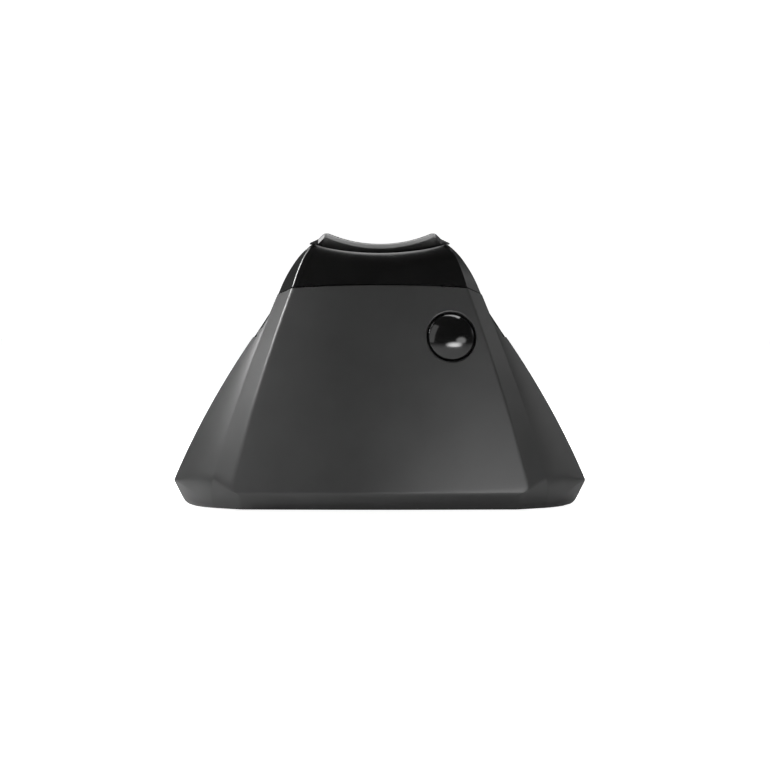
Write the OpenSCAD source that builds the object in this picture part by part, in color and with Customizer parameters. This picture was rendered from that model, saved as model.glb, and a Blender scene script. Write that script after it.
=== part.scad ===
// Roof bar foot: the tower under one end of a foil-shaped cross bar, clamped onto a landing pad.
// X runs along the vehicle, Y from the outer side (negative) inboard, Z up.
// The origin is the middle of the base, at the level that the rubber strips stand on.

/* [Overall] */
// Length along the vehicle, at the widest level of the cover
foot_w = 180; // [170:1:190]
// Depth from the front of the cover to the back wall
foot_d = 88; // [86:1:96]
// Height of the parting line between cover and cap, at the middle of the front
seam_h = 96.7; // [94:0.1:100]
// Height of the lowest line of the bar saddle
seat_h = 114.2; // [112:0.1:118]

/* [Cover] */
// Height of the cover's lower edge at the middle of the front
cover_low_h = 2; // [1.6:0.1:2.5]
// Fall of that edge towards its two ends
low_fall = 1.6; // [0:0.1:1.6]
// Rounding of the cover's two lower corners
low_round = 3.6; // [2:0.1:5]
// Height of the widest level, where the lower band starts
wide_h = 10.8; // [9:0.1:12]
// How far the lower band turns in at the front
tuck = 5; // [3:0.1:5.5]
// How far the lower band turns in at each side, above that rounding
side_tuck = 4.2; // [3:0.1:6]
// Wall of the cover
cover_t = 2.4; // [2:0.1:2.8]
// Width of the front face at the widest level
face_low_w = 126.8; // [120:0.1:130]
// Width of the front face at the parting line
face_top_w = 74.2; // [72:0.1:77]
// Extra half-width of the front face at mid height
face_bow = 1.3; // [0:0.1:2]
// Backward lean of the front face, in degrees
face_lean = 13.1; // [11:0.1:14]
// Radius of the front face in plan
face_r = 200; // [170:1:260]
// Width of the side bevel at the widest level
bevel_low_w = 9.7; // [8:0.1:11]
// Width of the side bevel at the parting line
bevel_top_w = 5.1; // [4:0.1:6]
// Depth of the side bevel
bevel_d = 8; // [7:0.1:9]
// Sideways slope of the wing's outline at the widest level
flare = 0.42; // [0.38:0.01:0.46]
// Growth of that slope for each mm of height
flare_gain = 0.00216; // [0.0018:0.00001:0.0024]
// Run of the wing inboard for each mm sideways
wing_run = 1.15; // [1.05:0.01:1.3]
// Share of that run that comes late, near the rim
wing_bow = 0.25; // [0.1:0.01:0.35]
// Narrowest return of the cover behind its bevel
return_w = 0.6; // [0.5:0.1:1.2]
// Fall of the parting plane over the front and the bevels, in degrees
seam_fall = 20; // [16:0.5:22]
// Width of the pry notch in each side of the cover
notch_w = 1.8; // [1.4:0.1:2.6]
// How far the rims stand back above the notches
rim_relief = 1.1; // [0:0.1:1.4]
// Height of the pry notches
notch_h = 75; // [72:0.1:78]

/* [Cap] */
// Wall of the cap
cap_t = 2.4; // [2:0.1:2.8]
// Height of the cap's lip at its ends, below the saddle's lowest line
lip_drop = -0.1; // [-0.5:0.1:0.5]
// Sag of the lip from its ends to the middle
lip_sag = 3.3; // [2.5:0.1:4]
// Overall width of the cap at the ends of its lip
cap_top_w = 60.4; // [59:0.1:62]
// Width of the cap's bevel at its lip
cap_bevel_w = 0.6; // [0.4:0.1:1.6]
// Share of the cap's taper that comes late, near the lip
cap_bow = 0.35; // [0.2:0.01:0.5]
// Distance between the two screw bosses at each side
cap_boss_gap = 30; // [28:0.5:31]
// Height of the screw bosses above the deck
cap_boss_h = 10; // [8:0.5:11]

/* [Saddle] */
// Radius of the bar saddle
saddle_r = 54.2; // [50:0.1:60]
// Gap between the cap's side walls and the pad
pad_side_gap = 1.3; // [1:0.1:2]
// Width of each end of the pad, beyond the saddle's crest
pad_end_w = 3.9; // [3:0.1:5]
// Fall of those ends for each mm of their width
pad_end_fall = 0.7; // [0.4:0.05:1]
// Thickness of the pad at its middle
pad_t = 5; // [4.5:0.1:6]
// Chamfer along the pad's front and back edges
pad_edge = 2.2; // [1.4:0.1:2.4]
// Gap between the cap's lip and the pad, front and back
pad_gap = 1; // [0.7:0.1:1.4]
// Width of the grooves in the pad
groove_w = 1.2; // [1:0.1:1.6]
// Depth of the grooves
groove_d = 1.5; // [1:0.1:2]
// Spacing of the grooves, and their distance from the crest
groove_step = 4; // [3:0.1:5]
// Radius of the carrier's top, under the pad
carrier_r = 80; // [70:1:100]
// Depth of the carrier from its top to the frame's plate, at the middle
carrier_t = 11.7; // [10:0.1:13]

/* [Lock] */
// Sideways place of the lock
lock_x = 30.4; // [26:0.1:31]
// Height of the lock
lock_h = 74.9; // [70:0.1:77]
// Diameter of the lock's recess in the cover
recess_d = 22; // [21:0.1:24]
// Depth of the recess
recess_h = 4; // [3:0.1:5]
// Diameter of the plug's domed head
dome_d = 20; // [19:0.1:20.6]
// Rise of the dome from its rim to its crown
dome_h = 3.6; // [2.5:0.1:4]
// Diameter of the plug's stem
stem_d = 14; // [12:0.1:15]
// Length of the stem below the head
stem_l = 12; // [10:0.1:12.5]
// Wall of the lock housing's tube
housing_t = 1.6; // [1.2:0.1:2]

/* [Clamp] */
// Height of the clamp bolt
clamp_h = 30; // [29:0.1:32]
// Length of the two jaws along the vehicle
jaw_w = 60; // [56:1:64]
// Thickness of a jaw's plate
jaw_t = 7; // [6:0.1:8]
// Height of the jaws above the clamp bolt
jaw_rise = 10; // [9:0.5:12]
// Reach of a jaw's hook under the landing pad's ledge
hook_l = 3.5; // [2.5:0.1:4]
// Thickness of the hooks
hook_t = 3.5; // [3:0.1:4]
// Gap between the base level and the hooks
hook_h = 2.5; // [2:0.1:3]
// Width of the foot beyond each end of the landing pad's pocket
pocket_end_w = 34; // [32:0.5:38]
// Width of the pocket across the landing pad
pocket_w = 36; // [34:0.5:37]
// Depth of the pocket above the base level
pocket_h = 13.5; // [12:0.1:14]
// Inboard offset of the pocket's middle
pocket_y = 5; // [4:0.1:5.5]
// Travel of the moving jaw
jaw_travel = 5; // [4:0.1:5.5]
// Diameter of the jaws' guide rods
rod_d = 6; // [5:0.1:7]
// Gap between each guide rod and the frame's leg beside it
rod_side_gap = 3.5; // [3:0.1:5]
// Wire of the jaw spring
spring_wire = 1.4; // [1:0.1:1.6]
// Number of turns of the jaw spring
spring_turns = 7; // [5:1:8]

/* [Bolts] */
// Diameter of the clamp bolt and of the bar bolt
bolt_d = 8; // [7.8:0.05:8.2]
// Diameter of the clamp bolt's head
bolt_head_d = 13; // [12.5:0.1:14]
// Height of the clamp bolt's head
bolt_head_h = 5; // [4.5:0.1:6]
// Width across flats of the key in the clamp bolt's head
key_af = 6; // [5:0.5:6]
// Width across flats of the hexagon nuts
nut_af = 13; // [12.5:0.1:13.5]
// Thickness of the hexagon nuts
nut_t = 6.5; // [6:0.1:7]
// How deep the clamp bolt's nut sits in the fixed jaw
nut_sink = 3; // [2:0.1:4]
// Thickness of the washers
washer_t = 1.6; // [1.2:0.1:2]
// Diameter of the clamp bolt's washer
clamp_washer_d = 16; // [15:0.5:18]
// Diameter of the washer above the thumb wheel
wheel_washer_d = 24; // [20:0.5:26]
// Length of the bar bolt's head across the bar
tee_w = 20; // [18:0.1:22]
// Depth of the bar bolt's head along the bar
tee_d = 12; // [10:0.1:13]
// Thickness of the bar bolt's head
tee_t = 4.8; // [4:0.1:5]
// Length of the bar bolt below its head
tee_l = 40; // [38:0.5:42]
// Height of the square neck under the bar bolt's head
neck_h = 5; // [4:0.1:6]
// Inboard offset of the bar bolt
tee_y = 11; // [10:0.1:13]
// Diameter of the thumb wheel
wheel_d = 30; // [26:0.5:30.5]
// Height of the thumb wheel
wheel_h = 10; // [9:0.1:12]
// Scallops around the thumb wheel
scallops = 12; // [8:1:16]
// Radius of the scallops
scallop_r = 3; // [2.5:0.1:3.5]

/* [Screws] */
// Diameter of the screws that hold the cap
cap_screw_d = 3; // [2.5:0.1:3.5]
// Diameter of the screws that hold the frame
frame_screw_d = 5; // [4:0.1:5.5]
// Diameter of the screws that hold the fixed jaw
jaw_screw_d = 4; // [3.5:0.1:4.5]
// Diameter of the screws that hold the lock housing
lock_screw_d = 2.2; // [2:0.1:2.4]

/* [Frame] */
// Thickness of the pressed steel frame
frame_t = 2.5; // [2:0.1:3]
// How far the frame stands back from each end of the pad
frame_inset = 0.5; // [0.3:0.1:1]
// Depth of the frame
frame_d = 32; // [30:0.5:34]
// Length of the frame's feet
foot_l = 15; // [14:0.5:17]
// Distance of the frame's screws and windows from its edges
frame_edge = 7; // [6:0.1:8]
// Height of the windows above the middle of the frame's legs
window_lift = 6; // [4:0.5:8]
// Thickness of the body's floor over the pocket
floor_t = 5; // [4.5:0.1:6]

/* [Body] */
// Wall of the body
body_t = 3; // [2.5:0.1:3.5]
// Thickness of the body's back wall, with its pockets
back_t = 8; // [7:0.1:9]
// Skin left behind the pockets of the back wall
back_skin = 2.5; // [2:0.1:3]
// Thickness of the deck under the cap
deck_t = 3.5; // [3:0.1:4]
// Backward lean of the back wall, in degrees
back_lean = 3.5; // [2:0.1:5]
// Share of the width that is left at the back corners, at the widest level
back_low_share = 0.88; // [0.84:0.01:0.92]
// The same share at the parting line and in the cap
back_top_share = 0.97; // [0.96:0.005:0.98]
// Radius of the back corners at the widest level
corner_low_r = 12; // [9:0.5:14]
// Radius of the back corners at the parting line
corner_top_r = 7; // [6:0.5:8]
// Radius of the back corners at the cap's lip
corner_lip_r = 3.5; // [3:0.1:4]
// Crown of the back wall
back_crown = 0.5; // [0.2:0.1:1]
// Thickness of the rubber strips under the base
strip_t = 3; // [2.6:0.1:4]
// Width of the base beyond the strips' outer ends
strip_end_w = 18; // [16:0.5:20]
// Height of the rib between the two rows of pockets
cells_h = 52; // [48:1:56]
// Number of pockets across the back wall
back_cells = 4; // [3:1:6]
// Width of the ribs between the pockets
rib_t = 2.5; // [2:0.1:3]

/* [Latch] */
// Diameter of the latch studs on the inside of the cover
stud_d = 5; // [4:0.1:5.4]
// Depth of the studs in their grommets
stud_grip = 4; // [3:0.1:4.5]
// Sideways place of the studs
stud_x = 48; // [47.5:0.1:48.5]
// Height of the upper studs
stud_top_h = 58; // [56:0.5:60]
// Height of the lower studs
stud_low_h = 15; // [14.5:0.1:16]
// Diameter of the grommets
grommet_d = 8.8; // [8:0.1:9]
// Length of the grommets
grommet_l = 5; // [4:0.1:6]
// Distance between the cover's inside and the grommets
latch_gap = 8; // [7.5:0.1:9]
// Wall of the seats around the grommets
grommet_wall = 2; // [1.5:0.1:2.5]
// Depth of the seats behind the grommets
grommet_back = 6; // [5:0.1:8]

/* [Fits] */
// Gap at the parting line
seam_gap = 0.4; // [0.3:0.05:0.6]
// Gap between the cover's inside and the body
cover_gap = 0.6; // [0.4:0.05:0.8]
// Gap between the cover's rim and the body's step
rim_gap = 0.8; // [0.5:0.05:1]
// Radial clearance of turning and sliding fits
run_gap = 0.05; // [0.02:0.01:0.1]
// Clearance around seated pieces
seat_gap = 0.3; // [0.2:0.05:0.4]
// Radial clearance of a bolt in a plain hole
hole_gap = 0.3; // [0.2:0.05:0.5]

/* [Hidden] */
$fn = 48;

// Steps along the front face, the wing, a back corner and the height
face_n = 8;
wing_n = 4;
corner_n = 6;
rise_n = 10;
cap_n = 6;
far = 60;
eps = 0.01;

// Sizes and levels that follow from the driving sizes
cap_face_w = cap_top_w - 2 * cap_bevel_w;
pad_w = cap_top_w - 2 * (cap_t + pad_side_gap);
crest_w = pad_w - 2 * pad_end_w;
frame_w = pad_w - 2 * frame_inset;
pocket_l = foot_w - 2 * pocket_end_w;
lip_end_h = seat_h - lip_drop;
cap_rise = lip_end_h - seam_h;
seam_run = face_top_w * face_top_w / (8 * face_r) + bevel_d;
deck_h = seam_h - seam_run * tan(seam_fall);
body_low_h = strip_t;
floor_h = pocket_h + floor_t;
frame_top_h = seat_h - pad_t - carrier_t;
pocket_front = pocket_y - pocket_w / 2;
pocket_back = pocket_y + pocket_w / 2;
frame_front = tee_y - frame_d / 2;
frame_back = frame_front + frame_d;
bolt_r = bolt_d / 2;
rod_r = rod_d / 2;

function lerp(a, b, t) = a + (b - a) * t;

// The skin of cover and cap: plan outlines that change with the height z
function above(z) = max(z - wide_h, 0);
function rise(z) = min(above(z) / (seam_h - wide_h), 1);
function late(t) = (1 - cap_bow) * t + cap_bow * t * t;
function taper(z) = late(max(z - seam_h, 0) / cap_rise);
function face_y(z) = above(z) * tan(face_lean) - foot_d / 2;
function face_x(z) = lerp(face_low_w, face_top_w, rise(z)) / 2 + 4 * face_bow * rise(z) * (1 - rise(z))
    - (face_top_w - cap_face_w) / 2 * taper(z);
function bevel_x(z) = lerp(face_low_w / 2 + bevel_low_w, face_top_w / 2 + bevel_top_w, rise(z))
    + 4 * face_bow * rise(z) * (1 - rise(z)) - (face_top_w / 2 + bevel_top_w - cap_top_w / 2) * taper(z);
function crown(z, x) = face_y(z) + x * x / (2 * face_r);
function bevel_y(z) = crown(z, face_x(z)) + lerp(bevel_d, bevel_d / 10, taper(z));
function wing_w(z) = let (h = above(z))
    max(foot_w / 2 - flare * h - flare_gain * h * h - bevel_x(z), return_w);
function under(z) = max(wide_h - z, 0) / (wide_h - cover_low_h);
function low_z(x) = cover_low_h - low_fall * min(pow(2 * x / foot_w, 2), 1);
function side_in(z) = let (v = min(max(1 - (z - cover_low_h + low_fall) / low_round, 0), 1))
    side_tuck * under(z) + low_round * (1 - sqrt(1 - v * v));
function tucked(p, z) = [for (q = p) let (share = pow(2 * q.x / foot_w, 4))
    [q.x * (1 - 2 * side_in(z) / foot_w * share), q.y + tuck * under(z) * (1 - 0.7 * share)]];

function face_half(z) = [for (i = [0:face_n]) let (x = face_x(z) * i / face_n) [x, crown(z, x)]];
function wing_half(z, relief) = let (w = wing_w(z), part = max(w - relief, return_w / 2) / w)
    [for (i = [0:wing_n]) let (t = part * i / wing_n)
        [bevel_x(z) + w * t, bevel_y(z) + w * t * wing_run * (1 - wing_bow + wing_bow * t)]];
// A half outline from the middle of the front, mirrored to a whole one
function both(half) = concat([for (i = [len(half) - 1:-1:1]) [-half[i].x, half[i].y]], half);

// An outline moved inward by d, with mitred corners; inward is to the left of its direction
function unit(v) = v / norm(v);
function left(a, b) = let (u = unit(b - a)) [-u.y, u.x];
function inset(p, d, closed = false) = let (n = len(p)) [for (i = [0:n - 1])
    let (l = left(p[i == 0 ? (closed ? n - 1 : 0) : i - 1], p[i == 0 ? (closed ? 0 : 1) : i]),
        r = left(p[i == n - 1 ? (closed ? i : i - 1) : i], p[i == n - 1 ? (closed ? 0 : i) : i + 1]))
    p[i] + d * (l + r) / (1 + l * r)];

function skin_plan(z, relief = 0) = tucked(both(concat(face_half(z), wing_half(z, relief))), z);
function cover_plan(z) = skin_plan(z, rim_relief * min(max((z - notch_h) / notch_w, 0), 1));
function seam_z(y) = seam_h - max(min(y - face_y(seam_h), seam_run), 0) * tan(seam_fall);

// The back of body and cap, from a point on the side to the middle of the back wall
function back_y(z) = foot_d / 2 - above(z) * tan(back_lean) - tuck / 2 * under(z);
function back_x(z, side) = side.x * lerp(back_low_share, back_top_share, rise(z));
function corner_r(z) = lerp(lerp(corner_low_r, corner_top_r, rise(z)), corner_lip_r, taper(z));
function back_half(z, side) = let (x = back_x(z, side), y = back_y(z), r = corner_r(z)) concat([side],
    [for (i = [0:corner_n]) let (a = 90 * i / corner_n)
        [x - r * (1 - cos(a)), y - back_crown - r * (1 - sin(a))]],
    [[0, y]]);
// A half ring from the middle of the front to the middle of the back, mirrored and closed
function ring(half) = let (n = len(half)) concat(half, [for (i = [n - 2:-1:1]) [-half[i].x, half[i].y]]);

function lip_h(x) = lip_end_h - lip_sag * (1 - min(pow(2 * x / cap_face_w, 2), 1));
function cap_ring(z) = ring(concat(face_half(z), back_half(z, [bevel_x(z), bevel_y(z)])));

// The body's outline: behind the cover's inside, then a step out to the skin at the cover's rim
function body_half(z) = let (in = inset(skin_plan(z), cover_t + cover_gap), out = skin_plan(z),
    n = len(out), along = unit([1, wing_run * (1 + wing_bow)]), bevel_in = in[n - 1 - wing_n],
    rim_in = in[n - 1],
    step_in = rim_in + along * rim_gap, step_out = out[n - 1] + along * rim_gap + rim_gap * [-1, 0])
    concat([[0, bevel_in.y - 1], bevel_in, step_in], back_half(z, step_out));
function body_ring(z) = ring(body_half(z));
// The bay inside it: the same outline less the wall, open to the front
function bay_ring(z) = let (b = body_half(z), in = inset(ring(b), body_t, true), limit = back_y(z) - back_t,
    front = b[1] + body_t * [-0.8, 0.6], n = len(b),
    side = [max(b[3].x - body_t - 2, front.x + 0.2), max(b[2].y + body_t, front.y + 0.2)])
    ring(concat([[0, -far - 1], [front.x, -far], front, side],
        [for (i = [4:n - 1]) [in[i].x, min(in[i].y, limit - (n - 1 - i) * eps)]]));

function faces_between(a, b, n, wrap) = [for (i = [0:n - (wrap ? 1 : 2)]) let (j = (i + 1) % n)
    each [[a + i, b + i, b + j], [a + i, b + j, a + j]]];
function flat(list) = [for (row = list) each row];

// Triangles that close a ring with equal halves; a point at a step, numbered notch, is closed on its own
function lid(n, notch) = let (r = [for (i = [1:ceil(n / 2) - 1]) if (i != notch) i], m = len(r)) concat(
    [[0, r[0], n - r[0]]],
    [for (i = [0:m - 2]) each [[r[i], r[i + 1], n - r[i + 1]], [r[i], n - r[i + 1], n - r[i]]]],
    n % 2 == 0 ? [[r[m - 1], n / 2, n - r[m - 1]]] : [],
    notch > 0 ? [[notch - 1, notch, notch + 1], [n - notch - 1, n - notch, n - notch + 1]] : []);

// A solid through a stack of closed rings
module loft(rings, notch = 0) {
    n = len(rings[0]);
    last = (len(rings) - 1) * n;
    polyhedron(flat(rings), concat(
        [for (r = [0:len(rings) - 2]) each faces_between(r * n, (r + 1) * n, n, true)],
        lid(n, notch),
        [for (f = lid(n, notch)) [f[2] + last, f[1] + last, f[0] + last]]), convexity = 8);
}

// A wall between an outer and an inner grid of rows, either closed around or with two free sides
module wall(outer, inner, wrap) {
    n = len(outer[0]);
    m = len(outer);
    k = n * m;
    turned = [for (r = [0:m - 2]) each faces_between(k + r * n, k + (r + 1) * n, n, wrap)];
    polyhedron(concat(flat(outer), flat(inner)), concat(
        [for (r = [0:m - 2]) each faces_between(r * n, (r + 1) * n, n, wrap)],
        [for (f = turned) [f[2], f[1], f[0]]],
        faces_between(k, 0, n, wrap),
        faces_between((m - 1) * n, k + (m - 1) * n, n, wrap),
        wrap ? [] : [for (r = [0:m - 2]) each let (a = r * n, b = a + n)
            [[b, a, k + a], [b, k + a, k + b]]],
        wrap ? [] : [for (r = [0:m - 2]) each let (a = r * n + n - 1, b = a + n)
            [[a, b, k + b], [a, k + b, k + a]]]), convexity = 8);
}

module rod(r, y0, y1, x = 0, z = 0) {
    translate([x, y0, z]) rotate([-90, 0, 0]) cylinder(r = r, h = y1 - y0);
}
module along_x(x0, x1) {
    translate([x0, 0, 0]) rotate([90, 0, 90]) linear_extrude(x1 - x0) children();
}
module along_y(y0, y1) {
    translate([0, y1, 0]) rotate([90, 0, 0]) linear_extrude(y1 - y0) children();
}
module both_sides() {
    children();
    mirror([1, 0, 0]) children();
}
module hexagon(af, h) {
    cylinder(d = af / cos(30), h = h, $fn = 6);
}
// Pan head up to z = 0 and shank down from it
module screw(d, l) {
    head_h = 0.6 * d;
    difference() {
        union() {
            translate([0, 0, -l]) cylinder(d = d, h = l + eps);
            cylinder(d = 2 * d, h = head_h);
        }
        translate([0, 0, head_h / 2]) hexagon(d * 0.7, head_h);
    }
}

// Places and directions of the lock and of the latch studs
lock_slope = [lock_x / face_r, -1, tan(face_lean)];
lock_n = lock_slope / norm(lock_slope);
module at_lock() {
    translate([lock_x, crown(lock_h, lock_x), lock_h])
        rotate([0, acos(lock_n.z), atan2(lock_n.y, lock_n.x)]) children();
}
stud_r = stud_d / 2;
grommet_r = grommet_d / 2;
function stud_y(h) = crown(h, stud_x) + cover_t + latch_gap;
module at_studs() {
    both_sides() for (h = [stud_low_h, stud_top_h])
        translate([stud_x, stud_y(h), h]) rotate([-90, 0, 0]) children();
}
boss_d = recess_d + 5;
boss_h = recess_h + 4;
bore_r = stem_d / 2 + seat_gap;
flange_t = 2;

module cover_skin() {
    low_steps = [0, 0.1, 0.2, 0.35, 0.6, 0.9];
    wide = cover_plan(wide_h);
    top = cover_plan(seam_h);
    top_in = inset(top, cover_t);
    n = len(top);
    outer = concat([for (t = low_steps) [for (j = [0:n - 1])
            let (z = lerp(low_z(wide[j].x), wide_h, t), p = cover_plan(z)) [p[j].x, p[j].y, z]]],
        [[for (p = wide) [p.x, p.y, wide_h]]],
        [for (i = [1:rise_n]) [for (j = [0:n - 1])
            let (z = lerp(wide_h, seam_z(top[j].y), i / rise_n), p = cover_plan(z)) [p[j].x, p[j].y, z]]]);
    inner = concat([for (t = low_steps) [for (j = [0:n - 1])
            let (z = lerp(low_z(wide[j].x), wide_h, t), p = inset(cover_plan(z), cover_t))
            [p[j].x, p[j].y, z]]],
        [[for (p = inset(wide, cover_t)) [p.x, p.y, wide_h]]],
        [for (i = [1:rise_n]) [for (j = [0:n - 1])
            let (z = lerp(wide_h, seam_z(top_in[j].y), i / rise_n), p = inset(cover_plan(z), cover_t))
            [p[j].x, p[j].y, z]]]);
    wall(outer, inner, false);
}

module cover() {
    color([0.16, 0.16, 0.17]) difference() {
        union() {
            cover_skin();
            // Boss behind the lock's recess
            at_lock() translate([0, 0, -boss_h]) cylinder(d = boss_d, h = boss_h - cover_t / 2);
            // Latch studs with their feet in the wall
            at_studs() union() {
                cylinder(r1 = stud_r, r2 = stud_r * 0.7, h = stud_grip);
                translate([0, 0, -latch_gap - cover_t / 4])
                    cylinder(r = stud_r, h = latch_gap + cover_t / 4 + eps);
            }
            // Stiffening ribs on the inside of the face
            for (x = face_rib_x) translate([x - face_rib_t / 2, crown(rib_h, x) + cover_t / 2, rib_h])
                rotate([-face_lean, 0, 0]) cube([face_rib_t, cover_t, lock_h - boss_d / 2 - rib_h]);
        }
        at_lock() translate([0, 0, -recess_h]) cylinder(d = recess_d, h = recess_h + 4);
        at_lock() translate([0, 0, -boss_h - 1]) cylinder(r = bore_r, h = boss_h + 1);
        at_lock_screws() translate([0, 0, -1]) cylinder(r = lock_screw_d / 2, h = boss_h - recess_h);
        // Pry notches in the rims
        both_sides() translate([wing_w(notch_h) + bevel_x(notch_h), rim_y(notch_h), notch_h - notch_w / 2])
            rotate([0, 0, atan(wing_run * (1 + wing_bow))]) translate([-notch_w, -far / 2, 0])
                cube([far, far, notch_w]);
    }
}
function rim_y(z) = bevel_y(z) + wing_w(z) * wing_run;
module rod_x(r, x0, x1, y, z) {
    translate([x0, y, z]) rotate([0, 90, 0]) cylinder(r = r, h = x1 - x0);
}
rib_h = wide_h + 14;
face_rib_x = [-26, -10, 10];
face_rib_t = 1.6;
screw_ring = (boss_d - 2 * lock_screw_d) / 2;
// Seats of the housing's screws, on the inner end of the boss
module at_lock_screws() {
    for (s = [-1, 1]) at_lock() translate([s * screw_ring, 0, -boss_h]) children();
}

// A tube closed at its inner end, with a flange against the cover's boss
module lock_housing() {
    color([0.1, 0.1, 0.11]) at_lock() difference() {
        union() {
            translate([0, 0, -boss_h - flange_t]) cylinder(d = boss_d, h = flange_t);
            translate([0, 0, -recess_h - stem_l - 3])
                cylinder(r = bore_r + housing_t, h = recess_h + stem_l + 2 - boss_h);
        }
        translate([0, 0, -recess_h - stem_l - 1]) cylinder(r = bore_r, h = stem_l + 2);
        for (s = [-1, 1]) translate([s * screw_ring, 0, -boss_h - flange_t - 1])
            cylinder(d = lock_screw_d + hole_gap, h = flange_t + 2);
    }
}

module housing_screws() {
    color([0.7, 0.7, 0.72]) at_lock_screws() translate([0, 0, -flange_t])
        rotate([180, 0, 0]) screw(lock_screw_d, flange_t + 2.4);
}

// Domed head in the recess, stem with a groove for its ring
ring_r = 0.8;
ring_h = 3;
ring_mid = bore_r - ring_r - 0.1;
module lock_plug() {
    dome_r = (dome_d * dome_d / 4 + dome_h * dome_h) / (2 * dome_h);
    color([0.02, 0.02, 0.02]) at_lock() difference() {
        union() {
            translate([0, 0, seat_gap - recess_h]) cylinder(d = dome_d, h = 1.8);
            translate([0, 0, seat_gap - recess_h + 1.8]) intersection() {
                translate([0, 0, dome_h - dome_r]) sphere(dome_r, $fn = 96);
                cylinder(d = dome_d, h = dome_h + 1);
            }
            translate([0, 0, -recess_h - stem_l]) cylinder(d = stem_d, h = stem_l + 1);
        }
        translate([0, 0, -recess_h - ring_h]) rotate_extrude()
            translate([ring_mid - ring_r - 0.1, -ring_r - 0.1]) square(2 * ring_r + 0.2);
        translate([0, 0, -recess_h - stem_l - 1]) cylinder(d = stem_d - 5, h = stem_l - 4);
    }
}

module plug_ring() {
    color([0.05, 0.05, 0.05]) at_lock() translate([0, 0, -recess_h - ring_h])
        rotate_extrude() translate([ring_mid, 0]) circle(ring_r, $fn = 24);
}

// Collar around the saddle, from the parting line to the lip
boss_x = cap_top_w / 2 + 1;
cap_boss_y = [for (s = [-1, 1]) tee_y + s * cap_boss_gap / 2];
cap_boss_r = cap_screw_d / 2 + 1.9;
cap_rib_t = 2;
module top_cap() {
    base = cap_ring(seam_h);
    tip = cap_ring(lip_end_h);
    n = len(base);
    low = [for (p = base) seam_z(p.y) + seam_gap];
    high = [for (p = tip) lip_h(p.x)];
    outer = [for (i = [0:cap_n]) [for (j = [0:n - 1])
        let (z = lerp(low[j], high[j], i / cap_n), p = cap_ring(z)[j]) [p.x, p.y, z]]];
    inner = [for (i = [0:cap_n]) [for (j = [0:n - 1])
        let (z = lerp(low[j], high[j], i / cap_n), p = inset(cap_ring(z), cap_t, true)[j]) [p.x, p.y, z]]];
    rib_end = bevel_x(deck_h + cap_boss_h) - cap_t * 0.75;
    color([0.02, 0.02, 0.02]) difference() {
        union() {
            wall(outer, inner, true);
            both_sides() for (y = cap_boss_y) {
                translate([boss_x, y, deck_h + seam_gap]) cylinder(r = cap_boss_r, h = cap_boss_h - seam_gap);
                translate([boss_x, y - cap_rib_t / 2, deck_h + seam_gap])
                    cube([rib_end - boss_x, cap_rib_t, cap_boss_h - seam_gap]);
            }
        }
        both_sides() for (y = cap_boss_y) translate([boss_x, y, deck_h - 1])
            cylinder(r = cap_screw_d / 2 + run_gap, h = cap_boss_h);
    }
}

module cap_screws() {
    color([0.7, 0.7, 0.72]) both_sides() for (y = cap_boss_y)
        translate([boss_x, y, deck_h - deck_t]) mirror([0, 0, 1]) screw(cap_screw_d, cap_boss_h);
}

// Moulded body: a shell behind the cover, with a floor over the landing pad and a cored back wall
rod_front = pocket_front - jaw_t - jaw_travel - washer_t;
module back_cells() {
    levels = [[floor_h + 1, cells_h], [cells_h + rib_t, deck_h - 6]];
    for (l = levels) along_y(back_y(l[0]) - back_t + back_skin, foot_d / 2 + 1)
        for (i = [0:back_cells - 1]) {
            w = [for (z = l) back_x(z, body_half(z)[3]) - corner_r(z) / 2];
            a = [for (k = [0, 1]) lerp(-w[k], w[k], i / back_cells) + rib_t / 2];
            b = [for (k = [0, 1]) lerp(-w[k], w[k], (i + 1) / back_cells) - rib_t / 2];
            polygon([[a[0], l[0]], [b[0], l[0]], [b[1], l[1]], [a[1], l[1]]]);
        }
}
bay_levels = [for (i = [0:rise_n]) lerp(floor_h, deck_h - deck_t, i / rise_n)];
bay_rib_x = [jaw_w / 2 + 1, stud_x + 2];
body_levels = concat([body_low_h, wide_h - 1], [for (i = [0:rise_n]) lerp(wide_h, deck_h, i / rise_n)]);
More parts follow.
